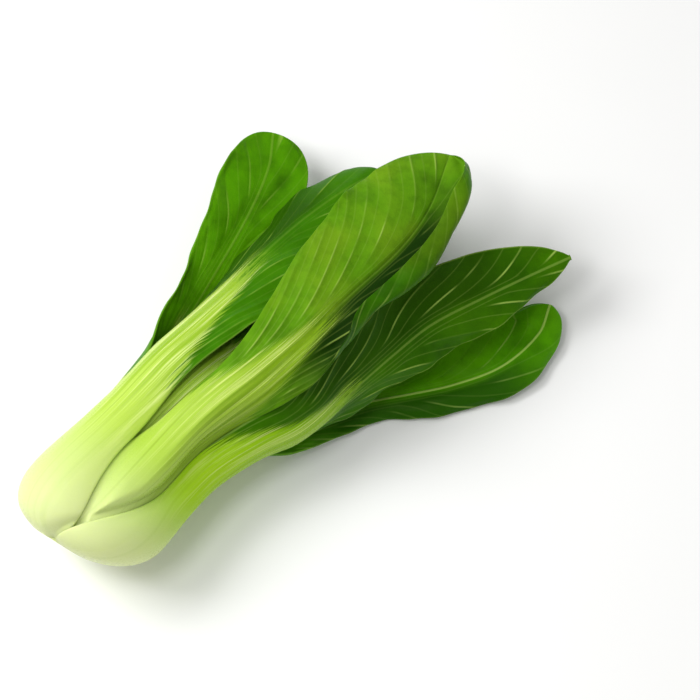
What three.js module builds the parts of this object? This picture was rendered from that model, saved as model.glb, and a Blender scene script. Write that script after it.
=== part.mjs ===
// A head of Shanghai bok choy, lying on its side as it lies on a table.
//
// Frame: millimetres, +X from the cut base to the leaf tips, +Z up, table at z = 0. The origin is
// on the table, on the small flat spot that the head rests on, under its bulb.
//
// Each leaf is one body: a fleshy stalk that runs out into a thin blade. In the bulb the stalks are
// wrapped round each other. They are packed from the outside in, each stalk inside those that are
// older than it. Further out each leaf leaves the bundle and follows a midrib of its own.

import * as THREE from 'three';

// ---- driving dimensions --------------------------------------------------------------------------

const CUT_X = -35; // the middle of the cut
const AXIS_Z = 31.9; // height of the head's axis over the table
const CUT_LEAN_Y = 0.13; // the cut slants along the head by this much for each mm in Y
const CUT_LEAN_Z = 0.36; // ... and for each mm in Z
const LEAN_END = 48; // the slant has died out this far from the cut
const GAP = 1.2; // clearance between neighbouring stalks
const FREE_FROM = 54; // from here a leaf starts to leave the bundle...
const FREE_AT = 104; // ...and here it is free of it

// The bulb's outline: distance from the cut, radius.
const BULB = [
  [0, 14], [1.5, 18.5], [4, 23.5], [8, 28], [14, 31.5],
  [20, 33], [27, 33.4], [45, 32.5], [66, 31.8], [110, 31],
];
// The stem inside it, which ends in a point.
const CORE = [[0, 9.6], [4, 10.6], [8, 10.4], [14, 9], [20, 6.8], [27, 4], [33, 1.6], [36, 0.5]];

const EDGE_THICK = 1.2; // a stalk's margin
const BLADE_THICK = 0.9;
const MIDRIB_HALF = 1.4; // half the midrib's width at the tip
const MARGIN_WAVE = 1.3; // height of the ripple along a blade's margin
const TIP_UNCURLS = 0.5; // how much of a curl is gone at the tip
const OUTER_FLESH = 0.75; // the share of a stalk's flesh on the outer side of its margins

const PALE = new THREE.Color('#d5e8a0');
const GREEN = new THREE.Color('#3f8f12');
const CUT_FACE = new THREE.Color('#e6e8c4');

// A leaf's numbers:
//   angle     its place round the head in degrees, 0 on top and 90 on the +Y side
//   start     where its foot is, from the cut
//   crown     how far its stalk stays inside the bulb's outline, in the bulb and beyond it
//   sag       how much lower its stalk's margins are than its crown
//   flesh     the stalk's thickness
//   foot      half the angle that it takes round the head, at its foot and above it
//   stalk     half the stalk's width
//   waist     the share of that width that is left where the blade begins
//   narrows   where the foot starts to narrow to the stalk, and where it has
//   blade     where the blade begins, from the cut
//   half      the widths of the blade's two halves, the +Y side first for a leaf on top
//   turn      how far each half is turned in, in degrees, minus being outwards
//   fold      how deep a valley the blade's outer face has along the midrib, in degrees
//   curl      a further turn towards the margin, in degrees
//   roll      the shares of the half width between which the curl comes on
//   outline   rise, shoulder and tip of the blade's outline: t^rise (1 - t^shoulder)^tip
//   phase     where the ripple along its margin starts
//   path      midrib points [x, y, z, roll]; roll is the way its outer face looks, as angle
const OUTER = {
  start: 0, crown: [0, 0], sag: 5, flesh: 7.5, stalk: 16, waist: 1, narrows: [8, 68],
  fold: 0, curl: [0, 0], roll: [0.15, 0.9], outline: [0.6, 5, 0.5], rows: 30, columns: 14,
};
const SECOND = { ...OUTER, start: 6, crown: [3, 0], flesh: 7, foot: [44, 52], stalk: 15 };
const INNER = {
  ...OUTER, start: 16, crown: [9, 9], flesh: 5.5, foot: [44, 52], stalk: 11.5,
  outline: [0.7, 5, 0.5], rows: 24, columns: 10,
};
const HEART = { ...INNER, start: 24, foot: [44, 54], turn: [34, 34], rows: 20, columns: 8 };

// Oldest first.
const LEAVES = [
  {
    ...OUTER, name: 'leaf_outer_right', angle: -86, crown: [-0.6, -0.6],
    foot: [60, 76], narrows: [-2, 44], stalk: 16,
    blade: 98, half: [22, 16], turn: [40, 26], curl: [-40, 0], outline: [0.6, 1.7, 0.8], phase: 0.4,
    path: [
      [29, -33, 32, -86], [50, -36, 33.5, -86], [74, -42.5, 33, -80], [96, -46, 34.5, -62],
      [117, -48.5, 36, -44], [137, -51.5, 37, -34], [160, -59, 36, -30], [182, -67, 35, -28],
      [201, -74, 33, -28],
    ],
  },
  {
    ...OUTER, name: 'leaf_outer_left', angle: 38, flesh: 8,
    foot: [52, 60], narrows: [-4, 44], stalk: 20, waist: 0.74,
    blade: 88, half: [21, 33], turn: [62, 30], outline: [0.55, 5, 0.5], phase: 2.1,
    path: [
      [35, 17.5, 54.5, 38], [58, 17.5, 53, 36], [85, 18.5, 50, 31], [109, 19.5, 46, 23],
      [134, 19, 42, 16], [159, 16, 38, 10], [177, 12, 34, 6],
    ],
  },
  {
    ...OUTER, name: 'leaf_outer_under', angle: 172, sag: 3.6, foot: [38, 48], stalk: 14.5,
    blade: 96, half: [33, 33], turn: [16, 20], phase: 3.3,
    path: [
      [35, 5, 3.3, 171], [58, 8, 3.3, 172], [87, 10, 2.4, 175], [117, 13, 1, 178],
      [144, 12, 1, 180], [168, 9, 5, 180],
    ],
  },
  {
    ...SECOND, name: 'leaf_top', angle: -32, start: 10, crown: [2, 0], flesh: 7.5, stalk: 16.2, waist: 0.82,
    blade: 98, half: [37, 27], turn: [12, -8], fold: 26, curl: [0, -172], roll: [0.45, 0.85],
    outline: [0.55, 5, 0.5], phase: 1.2,
    path: [
      [23, -15.5, 57, -31], [45, -18, 58, -29], [69, -21, 59.5, -25], [87, -23, 61, -19],
      [115, -24, 61, -12], [148, -25, 58, -6], [171, -21, 55, -2], [196, -10, 51, 0],
    ],
  },
  {
    ...SECOND, name: 'leaf_back_left', angle: 106,
    blade: 90, half: [19, 19], turn: [14, 10], outline: [0.7, 5, 0.5], phase: 5,
    path: [
      [35, 28, 24.5, 107], [54, 28, 24.5, 116], [74, 30, 25.5, 132], [103, 36, 27, 152],
      [129, 43, 27, 160], [149, 51, 26, 162], [163, 61, 24, 162],
    ],
  },
  {
    ...SECOND, name: 'leaf_back_right', angle: -143, stalk: 12.2,
    blade: 102, half: [13, 24], turn: [-60, 10], phase: 0.9,
    path: [
      [35, -20, 10, -142], [54, -26, 8.5, -147], [84, -37, 6, -152], [103, -47, 5, -158],
      [118, -58, 5, -162], [133, -69, 6, -164], [153, -79, 7, -164], [174, -81, 8, -164],
      [187, -76, 9, -164],
    ],
  },
  {
    ...INNER, name: 'leaf_inner_top', angle: 8, crown: [9.5, 9.5],
    blade: 92, half: [18, 18], turn: [30, 30], phase: 2.7,
    path: [
      [35, 3, 53, 8], [58, 2, 50, 8], [82, 1, 45, 8], [108, 0, 41, 4],
      [132, -2, 38, 2], [150, -3, 35, 2],
    ],
  },
  {
    ...INNER, name: 'leaf_inner_left', angle: 135,
    blade: 90, half: [20, 19], turn: [24, 24], phase: 4.1,
    path: [
      [35, 15, 18, 136], [58, 14, 15, 142], [82, 10, 11, 156], [112, 13, 10, 170],
      [142, 13, 12, 176], [158, 12, 15, 178],
    ],
  },
  {
    ...INNER, name: 'leaf_inner_right', angle: -114,
    blade: 86, half: [15, 17], turn: [20, 20], phase: 1.8,
    path: [
      [35, -19, 24, -114], [58, -21, 26, -112], [82, -26, 31, -100], [112, -33, 31, -90],
      [140, -38, 30, -84], [156, -41, 29, -80],
    ],
  },
  {
    ...HEART, name: 'leaf_heart_left', angle: 65, crown: [15.5, 17], flesh: 5, stalk: 9.5,
    blade: 80, half: [12, 12], phase: 0.2,
    path: [[35, 9, 36, 65], [58, 8, 34, 70], [82, 9, 30, 84], [106, 9, 27, 100], [126, 8, 26, 110]],
  },
  {
    ...HEART, name: 'leaf_heart_right', angle: -45, crown: [16, 18], flesh: 4.5, stalk: 8.5,
    blade: 74, half: [10, 10], phase: 5.5,
    path: [[35, -6, 36, -45], [56, -6, 34, -45], [78, -8, 31, -40], [96, -9, 30, -36], [110, -9, 30, -34]],
  },
];

// ---- small helpers -------------------------------------------------------------------------------

const radians = (degrees) => (degrees * Math.PI) / 180;
const clamp = (x, low, high) => Math.min(high, Math.max(low, x));
const mix = (a, b, share) => a + (b - a) * share;

function ease(low, high, x) {
  const t = clamp((x - low) / (high - low), 0, 1);
  return t * t * (3 - 2 * t);
}

// A minimum with its corner rounded over a width of about k.
function softMin(a, b, k) {
  const h = clamp(0.5 + (0.5 * (b - a)) / k, 0, 1);
  return mix(b, a, h) - k * h * (1 - h);
}

// A smooth curve through [station, value, ...] knots: cubic Hermite, with its neighbours' slopes.
function through(knots, s, column = 1) {
  const last = knots.length - 1;
  if (s <= knots[0][0]) return knots[0][column];
  if (s >= knots[last][0]) return knots[last][column];
  const i = knots.findIndex((knot) => knot[0] > s) - 1;
  const slope = (n) => {
    const a = knots[Math.max(0, n - 1)];
    const b = knots[Math.min(last, n + 1)];
    return (b[column] - a[column]) / (b[0] - a[0]);
  };
  const span = knots[i + 1][0] - knots[i][0];
  const t = (s - knots[i][0]) / span;
  return (
    knots[i][column] * (2 * t ** 3 - 3 * t ** 2 + 1) +
    slope(i) * span * (t ** 3 - 2 * t ** 2 + t) +
    knots[i + 1][column] * (3 * t ** 2 - 2 * t ** 3) +
    slope(i + 1) * span * (t ** 3 - t ** 2)
  );
}

// ---- a leaf's own shape --------------------------------------------------------------------------

// How far along the blade a place is: 0 where it begins, 1 at the tip.
function bladeShare(leaf, s) {
  return clamp((s - leaf.blade) / (leaf.end - leaf.blade), 0, 1);
}

// Half the angle that a stalk takes round the head, in radians, at a distance from the cut.
function reach(leaf, s) {
  const foot = mix(radians(leaf.foot[0]), radians(leaf.foot[1]), ease(2, 20, s - leaf.start));
  const stalk = leaf.stalk * mix(1, leaf.waist, ease(45, 90, s));
  return mix(foot, stalk / through(BULB, s), ease(...leaf.narrows, s));
}

// Half the width of the fleshy stalk, which narrows along the blade to the midrib.
function stalkHalf(leaf, s) {
  const held = Math.min(s, leaf.blade);
  return mix(reach(leaf, held) * through(BULB, held), MIDRIB_HALF, bladeShare(leaf, s) ** 0.6);
}

// The width of one half of the leaf before it is averaged; side is 1 or -1.
function plainHalf(leaf, s, side) {
  const t = bladeShare(leaf, s);
  const [rise, shoulder, tip] = leaf.outline;
  const shape = (u) => u ** rise * (1 - u ** shoulder) ** tip;
  const widest = (rise / (rise + shoulder * tip)) ** (1 / shoulder);
  const blade = (leaf.half[side > 0 ? 0 : 1] * shape(t)) / shape(widest);
  const held = Math.min(s, leaf.blade);
  const stalk = reach(leaf, held) * through(BULB, held) * (1 - ease(0, 0.5, t));
  return Math.max(1.2, Math.hypot(blade, stalk));
}

// The width of one half, averaged where the stalk runs out into the blade, so that the margin has
// no corner there.
function leafHalf(leaf, s, side) {
  const step = 6 * (1 - ease(leaf.blade + 15, leaf.blade + 60, s)) * ease(50, 80, s);
  let sum = 0;
  for (let n = -3; n <= 3; n++) sum += plainHalf(leaf, s + n * step, side);
  return sum / 7;
}

// Thickness at a margin.
function edgeThickness(leaf, s) {
  return mix(EDGE_THICK, BLADE_THICK, ease(0, 0.2, bladeShare(leaf, s)));
}

// Thickness at a distance from the midrib.
function thickness(leaf, s, across) {
  const runOut = mix(1, 0.07, ease(leaf.blade - 30, leaf.blade + 50, s));
  const flesh = leaf.flesh * mix(0.35, 1, ease(-6, 14, s - leaf.start)) * runOut;
  const edge = edgeThickness(leaf, s);
  const share = clamp(1 - (across / stalkHalf(leaf, s)) ** 2, 0, 1);
  return edge + Math.max(0, flesh - edge) * share ** 1.1;
}

// How far the outer face has turned from the midrib out to a share of the half width.
function turned(leaf, s, side, share) {
  const n = side > 0 ? 0 : 1;
  const open = ease(0.8 * leaf.blade, leaf.blade + 28, s);
  const rolled = ease(leaf.blade + 8, leaf.blade + 60, s);
  const held = 1 - TIP_UNCURLS * ease(0.8, 1, bladeShare(leaf, s));
  const curl = radians(leaf.curl[n]) * ease(...leaf.roll, share) * rolled * held;
  const valley = radians(leaf.fold) * (1 - ease(0, 0.55, share)) * rolled;
  return mix(reach(leaf, s) * share, radians(leaf.turn[n]) * share, open) + curl - valley;
}

// ---- the bundle of stalks ------------------------------------------------------------------------

const ANGLES = 240; // steps round the head
const LOOK = 4; // a stalk keeps clear of what is this many steps to each side
const RAMP = 30; // how fast a younger stalk may rise past an older one's margin, mm per radian
const bundles = new Map();

const wrap = (angle) => angle - 2 * Math.PI * Math.round(angle / (2 * Math.PI));

// The value of a ring at any angle.
function around(values, angle) {
  const place = ((((angle / (2 * Math.PI)) % 1) + 1) % 1) * ANGLES;
  const n = Math.floor(place);
  return mix(values[n % ANGLES], values[(n + 1) % ANGLES], place - n);
}

// The inside of an older stalk, which rises steeply past its margins.
function roof(ring, angle) {
  const off = wrap(angle - radians(ring.leaf.angle));
  const past = Math.max(0, Math.abs(off) - ring.half);
  const held = radians(ring.leaf.angle) + clamp(off, -ring.half, ring.half);
  return around(ring.inner, held) + past * RAMP;
}

// One stalk's outer and inner radius at every angle, inside the older ones.
function stalkRing(leaf, s, older) {
  const half = reach(leaf, s);
  const outline = through(BULB, s);
  const core = through(CORE, s) + GAP;
  const crown = mix(leaf.crown[0], leaf.crown[1], ease(26, 66, s));
  const free = new Float64Array(ANGLES);
  const outer = new Float64Array(ANGLES);
  const inner = new Float64Array(ANGLES);
  for (let n = 0; n < ANGLES; n++) {
    const angle = (2 * Math.PI * n) / ANGLES;
    const off = Math.abs(wrap(angle - radians(leaf.angle)));
    free[n] = outline - crown - leaf.sag * Math.min(1.4, off / half) ** 2;
    for (const ring of older) free[n] = softMin(free[n], roof(ring, angle) - GAP, 3);
  }
  for (let n = 0; n < ANGLES; n++) {
    const off = Math.abs(wrap((2 * Math.PI * n) / ANGLES - radians(leaf.angle)));
    let radius = free[n];
    for (let m = -LOOK; m <= LOOK; m++) radius = Math.min(radius, free[(n + m + ANGLES) % ANGLES]);
    inner[n] = Math.max(radius - thickness(leaf, s, off * outline), core);
    outer[n] = Math.max(radius, inner[n] + 0.8);
  }
  return { leaf, half, outer, inner };
}

// Every stalk's ring at a distance from the cut.
function bundle(s) {
  if (!bundles.has(s)) {
    const rings = [];
    for (const leaf of LEAVES) rings.push(stalkRing(leaf, s, rings));
    bundles.set(s, rings);
  }
  return bundles.get(s);
}

// ---- a leaf as a solid ---------------------------------------------------------------------------

// A point of the bundle, before the cut's slant.
function onAxis(s, radius, angle) {
  return new THREE.Vector3(CUT_X + s, radius * Math.sin(angle), AXIS_Z + radius * Math.cos(angle));
}

// Adds the slant of the cut, and flattens what would go into the table.
function settle(point) {
  const lean = CUT_LEAN_Y * point.y + CUT_LEAN_Z * (point.z - AXIS_Z);
  const share = 1 - ease(0, LEAN_END, point.x - CUT_X);
  return new THREE.Vector3(point.x - lean * share, point.y, Math.max(0, point.z));
}

// Midrib knots [s, x, y, z, roll]: two in the bulb, then the leaf's own path.
function midrib(leaf) {
  const knots = [];
  for (const s of [leaf.start, 30]) {
    const roll = radians(leaf.angle);
    const point = onAxis(s, through(BULB, s) - leaf.crown[0] - leaf.flesh / 2, roll);
    knots.push([s, point.x, point.y, point.z, roll]);
  }
  for (const [x, y, z, roll] of leaf.path) {
    const before = knots[knots.length - 1];
    const step = Math.hypot(x - before[1], y - before[2], z - before[3]);
    knots.push([before[0] + step, x, y, z, radians(roll)]);
  }
  return knots;
}

// One half of a row across the leaf, as [outer, inner] pairs from the midrib to the margin.
function halfRow(leaf, s, side, frame, ring) {
  const count = leaf.columns / 2;
  const steps = 4;
  const width = leafHalf(leaf, s, side);
  const free = ease(FREE_FROM, FREE_AT, s);
  const ripple = MARGIN_WAVE * ease(leaf.blade, leaf.blade + 40, s) * Math.sin(s / 6 + leaf.phase + side);
  const place = frame.place.clone();
  const pairs = [];
  for (let j = 0; j <= count; j++) {
    const share = j / count;
    for (let n = 0; j > 0 && n < steps; n++) {
      const angle = turned(leaf, s, side, (j - 1 + (n + 0.5) / steps) / count);
      place.addScaledVector(frame.across, (side * Math.cos(angle) * width) / (count * steps));
      place.addScaledVector(frame.out, (-Math.sin(angle) * width) / (count * steps));
    }
    const angle = turned(leaf, s, side, share);
    const normal = frame.out.clone().multiplyScalar(Math.cos(angle));
    normal.addScaledVector(frame.across, side * Math.sin(angle));
    const edge = edgeThickness(leaf, s);
    const flesh = thickness(leaf, s, share * width) - edge;
    const lift = ripple * share ** 2.5;
    const outer = place.clone().addScaledVector(normal, lift + edge / 2 + OUTER_FLESH * flesh);
    const inner = place.clone().addScaledVector(normal, lift - edge / 2 - (1 - OUTER_FLESH) * flesh);
    if (ring) {
      const a = radians(leaf.angle) + side * share * ring.half;
      outer.lerp(onAxis(s, around(ring.outer, a), a), 1 - free);
      inner.lerp(onAxis(s, around(ring.inner, a), a), 1 - free);
    }
    pairs.push([settle(outer), settle(inner)]);
  }
  return pairs;
}

// One row across the leaf, from margin to margin.
function row(leaf, s) {
  const at = (d) => new THREE.Vector3(...[1, 2, 3].map((column) => through(leaf.knots, d, column)));
  const along = at(s + 1).sub(at(s - 1)).normalize();
  const roll = through(leaf.knots, s, 4);
  const out = new THREE.Vector3(0, Math.sin(roll), Math.cos(roll));
  out.addScaledVector(along, -out.dot(along)).normalize();
  const across = new THREE.Vector3().crossVectors(out, along);
  const frame = { place: at(s), out, across };
  const ring = s < FREE_AT ? bundle(s).find((other) => other.leaf === leaf) : null;
  const right = halfRow(leaf, s, -1, frame, ring).reverse();
  const left = halfRow(leaf, s, 1, frame, ring);
  return [...right, ...left.slice(1)];
}

// Where a row lies: the rows are closer together near the foot and the tip.
function station(leaf, i) {
  const t = i / leaf.rows;
  return mix(leaf.start, leaf.end, mix(t, 0.5 - 0.5 * Math.cos(Math.PI * t), 0.78));
}

// Pale along the stalk and the midrib, green where the blade is.
function tint(leaf, s, j) {
  const side = j * 2 < leaf.columns ? -1 : 1;
  const across = Math.abs((2 * j) / leaf.columns - 1) * leafHalf(leaf, s, side);
  const off = ease(0.7, 1.1, across / stalkHalf(leaf, s));
  const along = ease(0.9, 1.5, s / leaf.blade);
  return PALE.clone().lerp(GREEN, Math.max(off, along) * ease(0.7, 1.1, s / leaf.blade));
}

function leafGeometry(leaf) {
  const { rows, columns } = leaf;
  const position = [];
  const colour = [];
  for (let i = 0; i <= rows; i++) {
    const s = station(leaf, i);
    row(leaf, s).forEach((pair, j) => {
      for (const point of pair) {
        position.push(...point.toArray());
        colour.push(...tint(leaf, s, j).toArray());
      }
    });
  }
  const index = [];
  const at = (i, j, face) => 2 * (i * (columns + 1) + j) + face;
  const quad = (a, b, c, d) => index.push(a, b, c, a, c, d);
  for (let i = 0; i < rows; i++) {
    for (let j = 0; j < columns; j++) {
      const [a, b, c, d] = [[i, j], [i + 1, j], [i + 1, j + 1], [i, j + 1]];
      quad(at(...a, 0), at(...b, 0), at(...c, 0), at(...d, 0));
      quad(at(...a, 1), at(...d, 1), at(...c, 1), at(...b, 1));
    }
    quad(at(i, 0, 1), at(i + 1, 0, 1), at(i + 1, 0, 0), at(i, 0, 0));
    quad(at(i, columns, 0), at(i + 1, columns, 0), at(i + 1, columns, 1), at(i, columns, 1));
  }
  for (let j = 0; j < columns; j++) {
    quad(at(0, j, 0), at(0, j + 1, 0), at(0, j + 1, 1), at(0, j, 1));
    quad(at(rows, j, 1), at(rows, j + 1, 1), at(rows, j + 1, 0), at(rows, j, 0));
  }
  const geometry = new THREE.BufferGeometry();
  geometry.setAttribute('position', new THREE.Float32BufferAttribute(position, 3));
  geometry.setAttribute('color', new THREE.Float32BufferAttribute(colour, 3));
  geometry.setIndex(index);
  geometry.computeVertexNormals();
  return geometry;
}

// ---- the stem ------------------------------------------------------------------------------------

function stemGeometry() {
  const profile = [new THREE.Vector2(0, 0)];
  for (const [s, radius] of CORE) profile.push(new THREE.Vector2(radius, s));
  profile.push(new THREE.Vector2(0, CORE[CORE.length - 1][0]));
  const geometry = new THREE.LatheGeometry(profile, 28);
  geometry.rotateZ(-Math.PI / 2);
  geometry.translate(CUT_X, 0, AXIS_Z);
  const place = geometry.getAttribute('position');
  for (let n = 0; n < place.count; n++) {
    const point = settle(new THREE.Vector3().fromBufferAttribute(place, n));
    place.setXYZ(n, ...point.toArray());
  }
  geometry.computeVertexNormals();
  return geometry;
}

// ---- the head ------------------------------------------------------------------------------------

for (const leaf of LEAVES) {
  leaf.knots = midrib(leaf);
  leaf.end = leaf.knots[leaf.knots.length - 1][0];
}

const head = new THREE.Group();
head.name = 'bok_choy';

const cutMaterial = new THREE.MeshStandardMaterial({ color: CUT_FACE, roughness: 0.6, metalness: 0 });
const stem = new THREE.Mesh(stemGeometry(), cutMaterial);
stem.name = 'stem';
head.add(stem);

for (const leaf of LEAVES) {
  const material = new THREE.MeshStandardMaterial({ vertexColors: true, roughness: 0.45, metalness: 0 });
  const mesh = new THREE.Mesh(leafGeometry(leaf), material);
  mesh.name = leaf.name;
  head.add(mesh);
}

export default head;
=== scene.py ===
"""A head of Shanghai bok choy, lying on a pale table.

Every leaf is one grown piece: a fleshy stalk that runs out into a thin blade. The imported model
holds plain solids of them. Here each solid is replaced by a finer leaf of the same form, with
rounded margins, ribs, veins and puckers in its mesh, and a material for its pale stalk and its
green blade. Sizes are in millimetres until a mesh is placed. Along a leaf, a place is given by
its distance s from the cut; across it, by its distance from the midrib.
"""

from __future__ import annotations

import logging
import math
from dataclasses import dataclass
from enum import Enum
from functools import partial
from typing import Any, Callable

import bpy
import numpy as np
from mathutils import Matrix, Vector

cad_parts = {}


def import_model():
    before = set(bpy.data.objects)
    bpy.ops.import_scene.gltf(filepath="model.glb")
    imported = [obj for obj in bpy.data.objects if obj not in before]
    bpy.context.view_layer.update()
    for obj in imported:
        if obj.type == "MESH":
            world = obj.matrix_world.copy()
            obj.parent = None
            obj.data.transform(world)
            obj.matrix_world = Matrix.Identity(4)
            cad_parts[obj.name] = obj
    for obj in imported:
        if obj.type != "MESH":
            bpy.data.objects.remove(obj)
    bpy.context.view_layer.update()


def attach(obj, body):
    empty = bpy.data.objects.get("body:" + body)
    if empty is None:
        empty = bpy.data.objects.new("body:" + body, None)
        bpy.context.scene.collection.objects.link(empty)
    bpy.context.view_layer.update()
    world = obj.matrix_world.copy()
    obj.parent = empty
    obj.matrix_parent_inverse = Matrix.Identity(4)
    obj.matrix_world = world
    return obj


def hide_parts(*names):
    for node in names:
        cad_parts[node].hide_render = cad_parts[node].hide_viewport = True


LOG = logging.getLogger("bok_choy")
MM = 0.001  # one millimetre in Blender's metres
Array = np.ndarray
Socket = bpy.types.NodeSocket
Sockets = dict[str, Socket]
Adder = Callable[..., Any]  # add() with a material's node tree filled in

# ---- the head's own sizes, in millimetres ---------------------------------------------------------

CUT_X = -35.0  # the middle of the cut
AXIS_Z = 31.9  # height of the head's axis over the table
CUT_LEAN_Y = 0.13  # the cut slants along the head by this much for each mm in Y
CUT_LEAN_Z = 0.36  # ... and for each mm in Z
LEAN_END = 48.0  # the slant has died out this far from the cut
GAP = 0.35  # neighbouring stalks press on each other but for this
FREE_FROM = 54.0  # from here a leaf starts to leave the bundle...
FREE_AT = 104.0  # ...and here it is free of it
BULB = (  # the bulb's outline: distances from the cut, and the radius there
    (0, 14), (1.5, 18.5), (4, 23.5), (8, 28), (14, 31.5),
    (20, 33), (27, 33.4), (45, 32.5), (66, 31.8), (110, 31),
)
CORE = (  # the same of the stem inside it
    (0, 9.6), (4, 10.6), (8, 10.4), (14, 9), (20, 6.8), (27, 4), (33, 1.6), (36, 0.5),
)
BULB_KNOT = 30.0  # the midrib follows the bulb's outline to here, from the cut
FOOT_SPREADS = (2.0, 20.0)  # over this, from its start, a stalk's foot grows to its full angle
WAIST_FORMS = (45.0, 90.0)  # over this, from the cut, a stalk narrows to its waist
CROWN_SETTLES = (26.0, 66.0)  # and its crown comes to its place beyond the bulb
EDGE_THICK = 1.2  # a stalk's margin
THINNEST = 0.8  # a stalk is never thinner
FOOT_THIN = 0.35  # the share of its flesh that a stalk has at its very foot
FOOT_FILLS = (-6.0, 14.0)  # over this, from its start, it comes to all of it
FLESH_GIVES_OUT = (-30.0, 50.0)  # over this, from where the blade begins, it gives out
FLESH_ROUND = 1.1  # how fast a stalk thins from its middle to its margins
OUTER_FLESH = 0.75  # the share of a stalk's flesh on the outer side of its margins
BLADE_THICK = 0.75
EDGE_THINS = 0.2  # the share of the blade over which the stalk's margin thins to the blade's
BLADE_ROUND = 0.6  # a margin is rounded over this share of the blade's thickness
ROUNDING = (35.0, 65.0, 90.0)  # where the rounding has points, in degrees
TIP_THIN = 0.07  # the share of a stalk's flesh that the midrib keeps
MIDRIB_HALF = 1.4  # half the midrib's width at the tip
STALK_NARROWS = 0.6  # under 1 the stalk narrows to it soon
STALK_WIDTH_ENDS = 0.5  # from this share of the blade the stalk adds nothing to its width
TIP_HALF = 1.2  # half the width of the very tip
EVEN_REACH = 3  # a margin's place is the mean with this many before and after it...
EVEN_STEP = 6.0  # ... which are up to this far apart
EVEN_STARTS = (50.0, 80.0)  # over this, from the cut, they come to that distance...
EVEN_ENDS = (15.0, 60.0)  # ... and over this, from where the blade begins, back to none
OPENS = (0.8, 28.0)  # from this share of its stalk to this far into its blade, a leaf opens out
CURLS = (8.0, 60.0)  # over this, from where the blade begins, its curl and its fold come on
TIP_UNCURLS = 0.5  # how much of a curl is gone at the tip
UNCURLS_FROM = 0.8  # ... and from which share of the blade on it goes
FOLD_WIDTH = 0.55  # share of the half width that the fold takes
MARGIN_WAVE = (1.3, 6, 2.5)  # a ripple's height, its mm per radian, and how near the margin it keeps
MARGIN_FRILL = (0.35, 2.1, 7)  # the same for a shorter one
RIPPLE_STARTS = 40.0  # both come on over this length of the blade...
RIPPLE_ENDS = 0.9  # ... and die out from this share of it on
ENDS_FINER = 0.45  # how much closer a leaf's rows stand at both its ends
ANGLES = 240  # steps round the head
LOOK = 4  # a stalk keeps clear of what is this many steps to each side
NESTLE = 3.0  # a stalk turns over this width from its own form to that of the one outside it
SAG_ENDS = 1.4  # a stalk's sag grows no more from this many half widths out
RAMP = 30.0  # how fast a younger stalk may rise past an older one's margin, mm per radian
TABLE_GAP = 0.05  # a leaf's smooth form comes no nearer to the table...
LOWEST = (0.0, 0.1)  # ... and with its relief, its outer and inner face this near
VEINS = 7.0  # side veins on each half of a blade
VEIN_LEAD = 2.5  # a side vein runs this many half widths forward on its way to the margin
VEIN_BEND = 0.72  # under 1 a vein leaves the midrib along it and then bends out
VEIN_CROWDS = 1.75  # the more, the closer the side veins stand towards the tip
VEIN_START = 40.0  # side veins leave the stalk from this far below the blade
VEIN_COUNT = (2.0, 0.6)  # their count starts and ends this far past the stalk's widths
VEIN_DENSITY = (0.04, 4.0)  # the fewest and the most side veins to a millimetre
VEIN_WANDER = 0.22  # how far a side vein strays, as a share of the way to the next
WANDER_SIZE = (55.0, 70.0)  # across the leaf and along it
WANDER_STARTS = (0.5, 2.0)  # over this count of side veins it comes on
VEIN_FREE = 3.5  # this far out from where it leaves, a side vein stands by itself
VEIN_HALVINGS = 26  # steps in which a vein's root is searched
ROOT_SPREAD = 0.12  # for each mm below the blade, the side veins leave this much further out
ROOT_TIP = 0.8  # how far from the midrib they leave at the tip
ROOT_NARROWS = 0.35  # under 1 they come near to it soon
PALE_WIDTH = 1.05  # half the width of the pale flesh, as a share of the stalk's...
PALE_LEAST = 0.4  # ... and the least that it comes to
GREEN_FROM = 0.5  # the green comes on from this share of that width...
GREEN_OVER = 0.65  # ... over this share of it...
GREEN_LEAST = 7.0  # ... and over this distance at least
GREEN_STARTS = (-22.0, 8.0)  # over this, from where the pale flesh starts to give out, it shows
ALL_GREEN = (0.6, 24.0)  # from this share of the way to its end to this far past, all turns green
WAVE_TRAINS = 5  # how many waves make up a random field
WAVE_HEIGHT = 3.2  # what their sum is divided by
GOLDEN_ANGLE = 2.39996  # turns each of them from the one before, in radians
SEAM = 1e-6  # points that are nearer than this become one, in metres
LEAF_CREASE = 55.0  # a sharper edge than this is shaded as one, in degrees


# ---- numbers --------------------------------------------------------------------------------------


def mix(low: Any, high: Any, share: Any) -> Any:
    """Goes from low to high as share goes from 0 to 1."""
    return low + (high - low) * share


def ease(low: float, high: float, x: Any) -> Any:
    """Rises smoothly from 0 at low to 1 at high."""
    t = np.clip((x - low) / (high - low), 0.0, 1.0)
    return t * t * (3.0 - 2.0 * t)


def soft_min(a: Array, b: Array, width: float) -> Array:
    """The smaller of two values, with the corner between them rounded over a width."""
    h = np.clip(0.5 + 0.5 * (b - a) / width, 0.0, 1.0)
    return mix(b, a, h) - width * h * (1.0 - h)


def through(knots: Any, s: Any, column: int = 1) -> Array:
    """A smooth curve through knots, with the slope at each knot taken from its neighbours.

    Args:
        knots: Rows of [station, value, ...].
        s: The stations that are asked for.
        column: Which value of the rows is followed.

    Returns:
        The curve's value at each station, held at the ends.
    """
    table = np.asarray(knots, float)
    x, y = table[:, 0], table[:, column]
    last = len(x) - 1
    after = np.minimum(np.arange(last + 1) + 1, last)
    before = np.maximum(np.arange(last + 1) - 1, 0)
    slope = (y[after] - y[before]) / (x[after] - x[before])
    s = np.clip(s, x[0], x[last])
    i = np.clip(np.searchsorted(x, s, side="right") - 1, 0, last - 1)
    span = x[i + 1] - x[i]
    t = (s - x[i]) / span
    ends = y[i] * (2 * t**3 - 3 * t**2 + 1) + y[i + 1] * (3 * t**2 - 2 * t**3)
    return ends + span * (slope[i] * (t**3 - 2 * t**2 + t) + slope[i + 1] * (t**3 - t**2))


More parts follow.
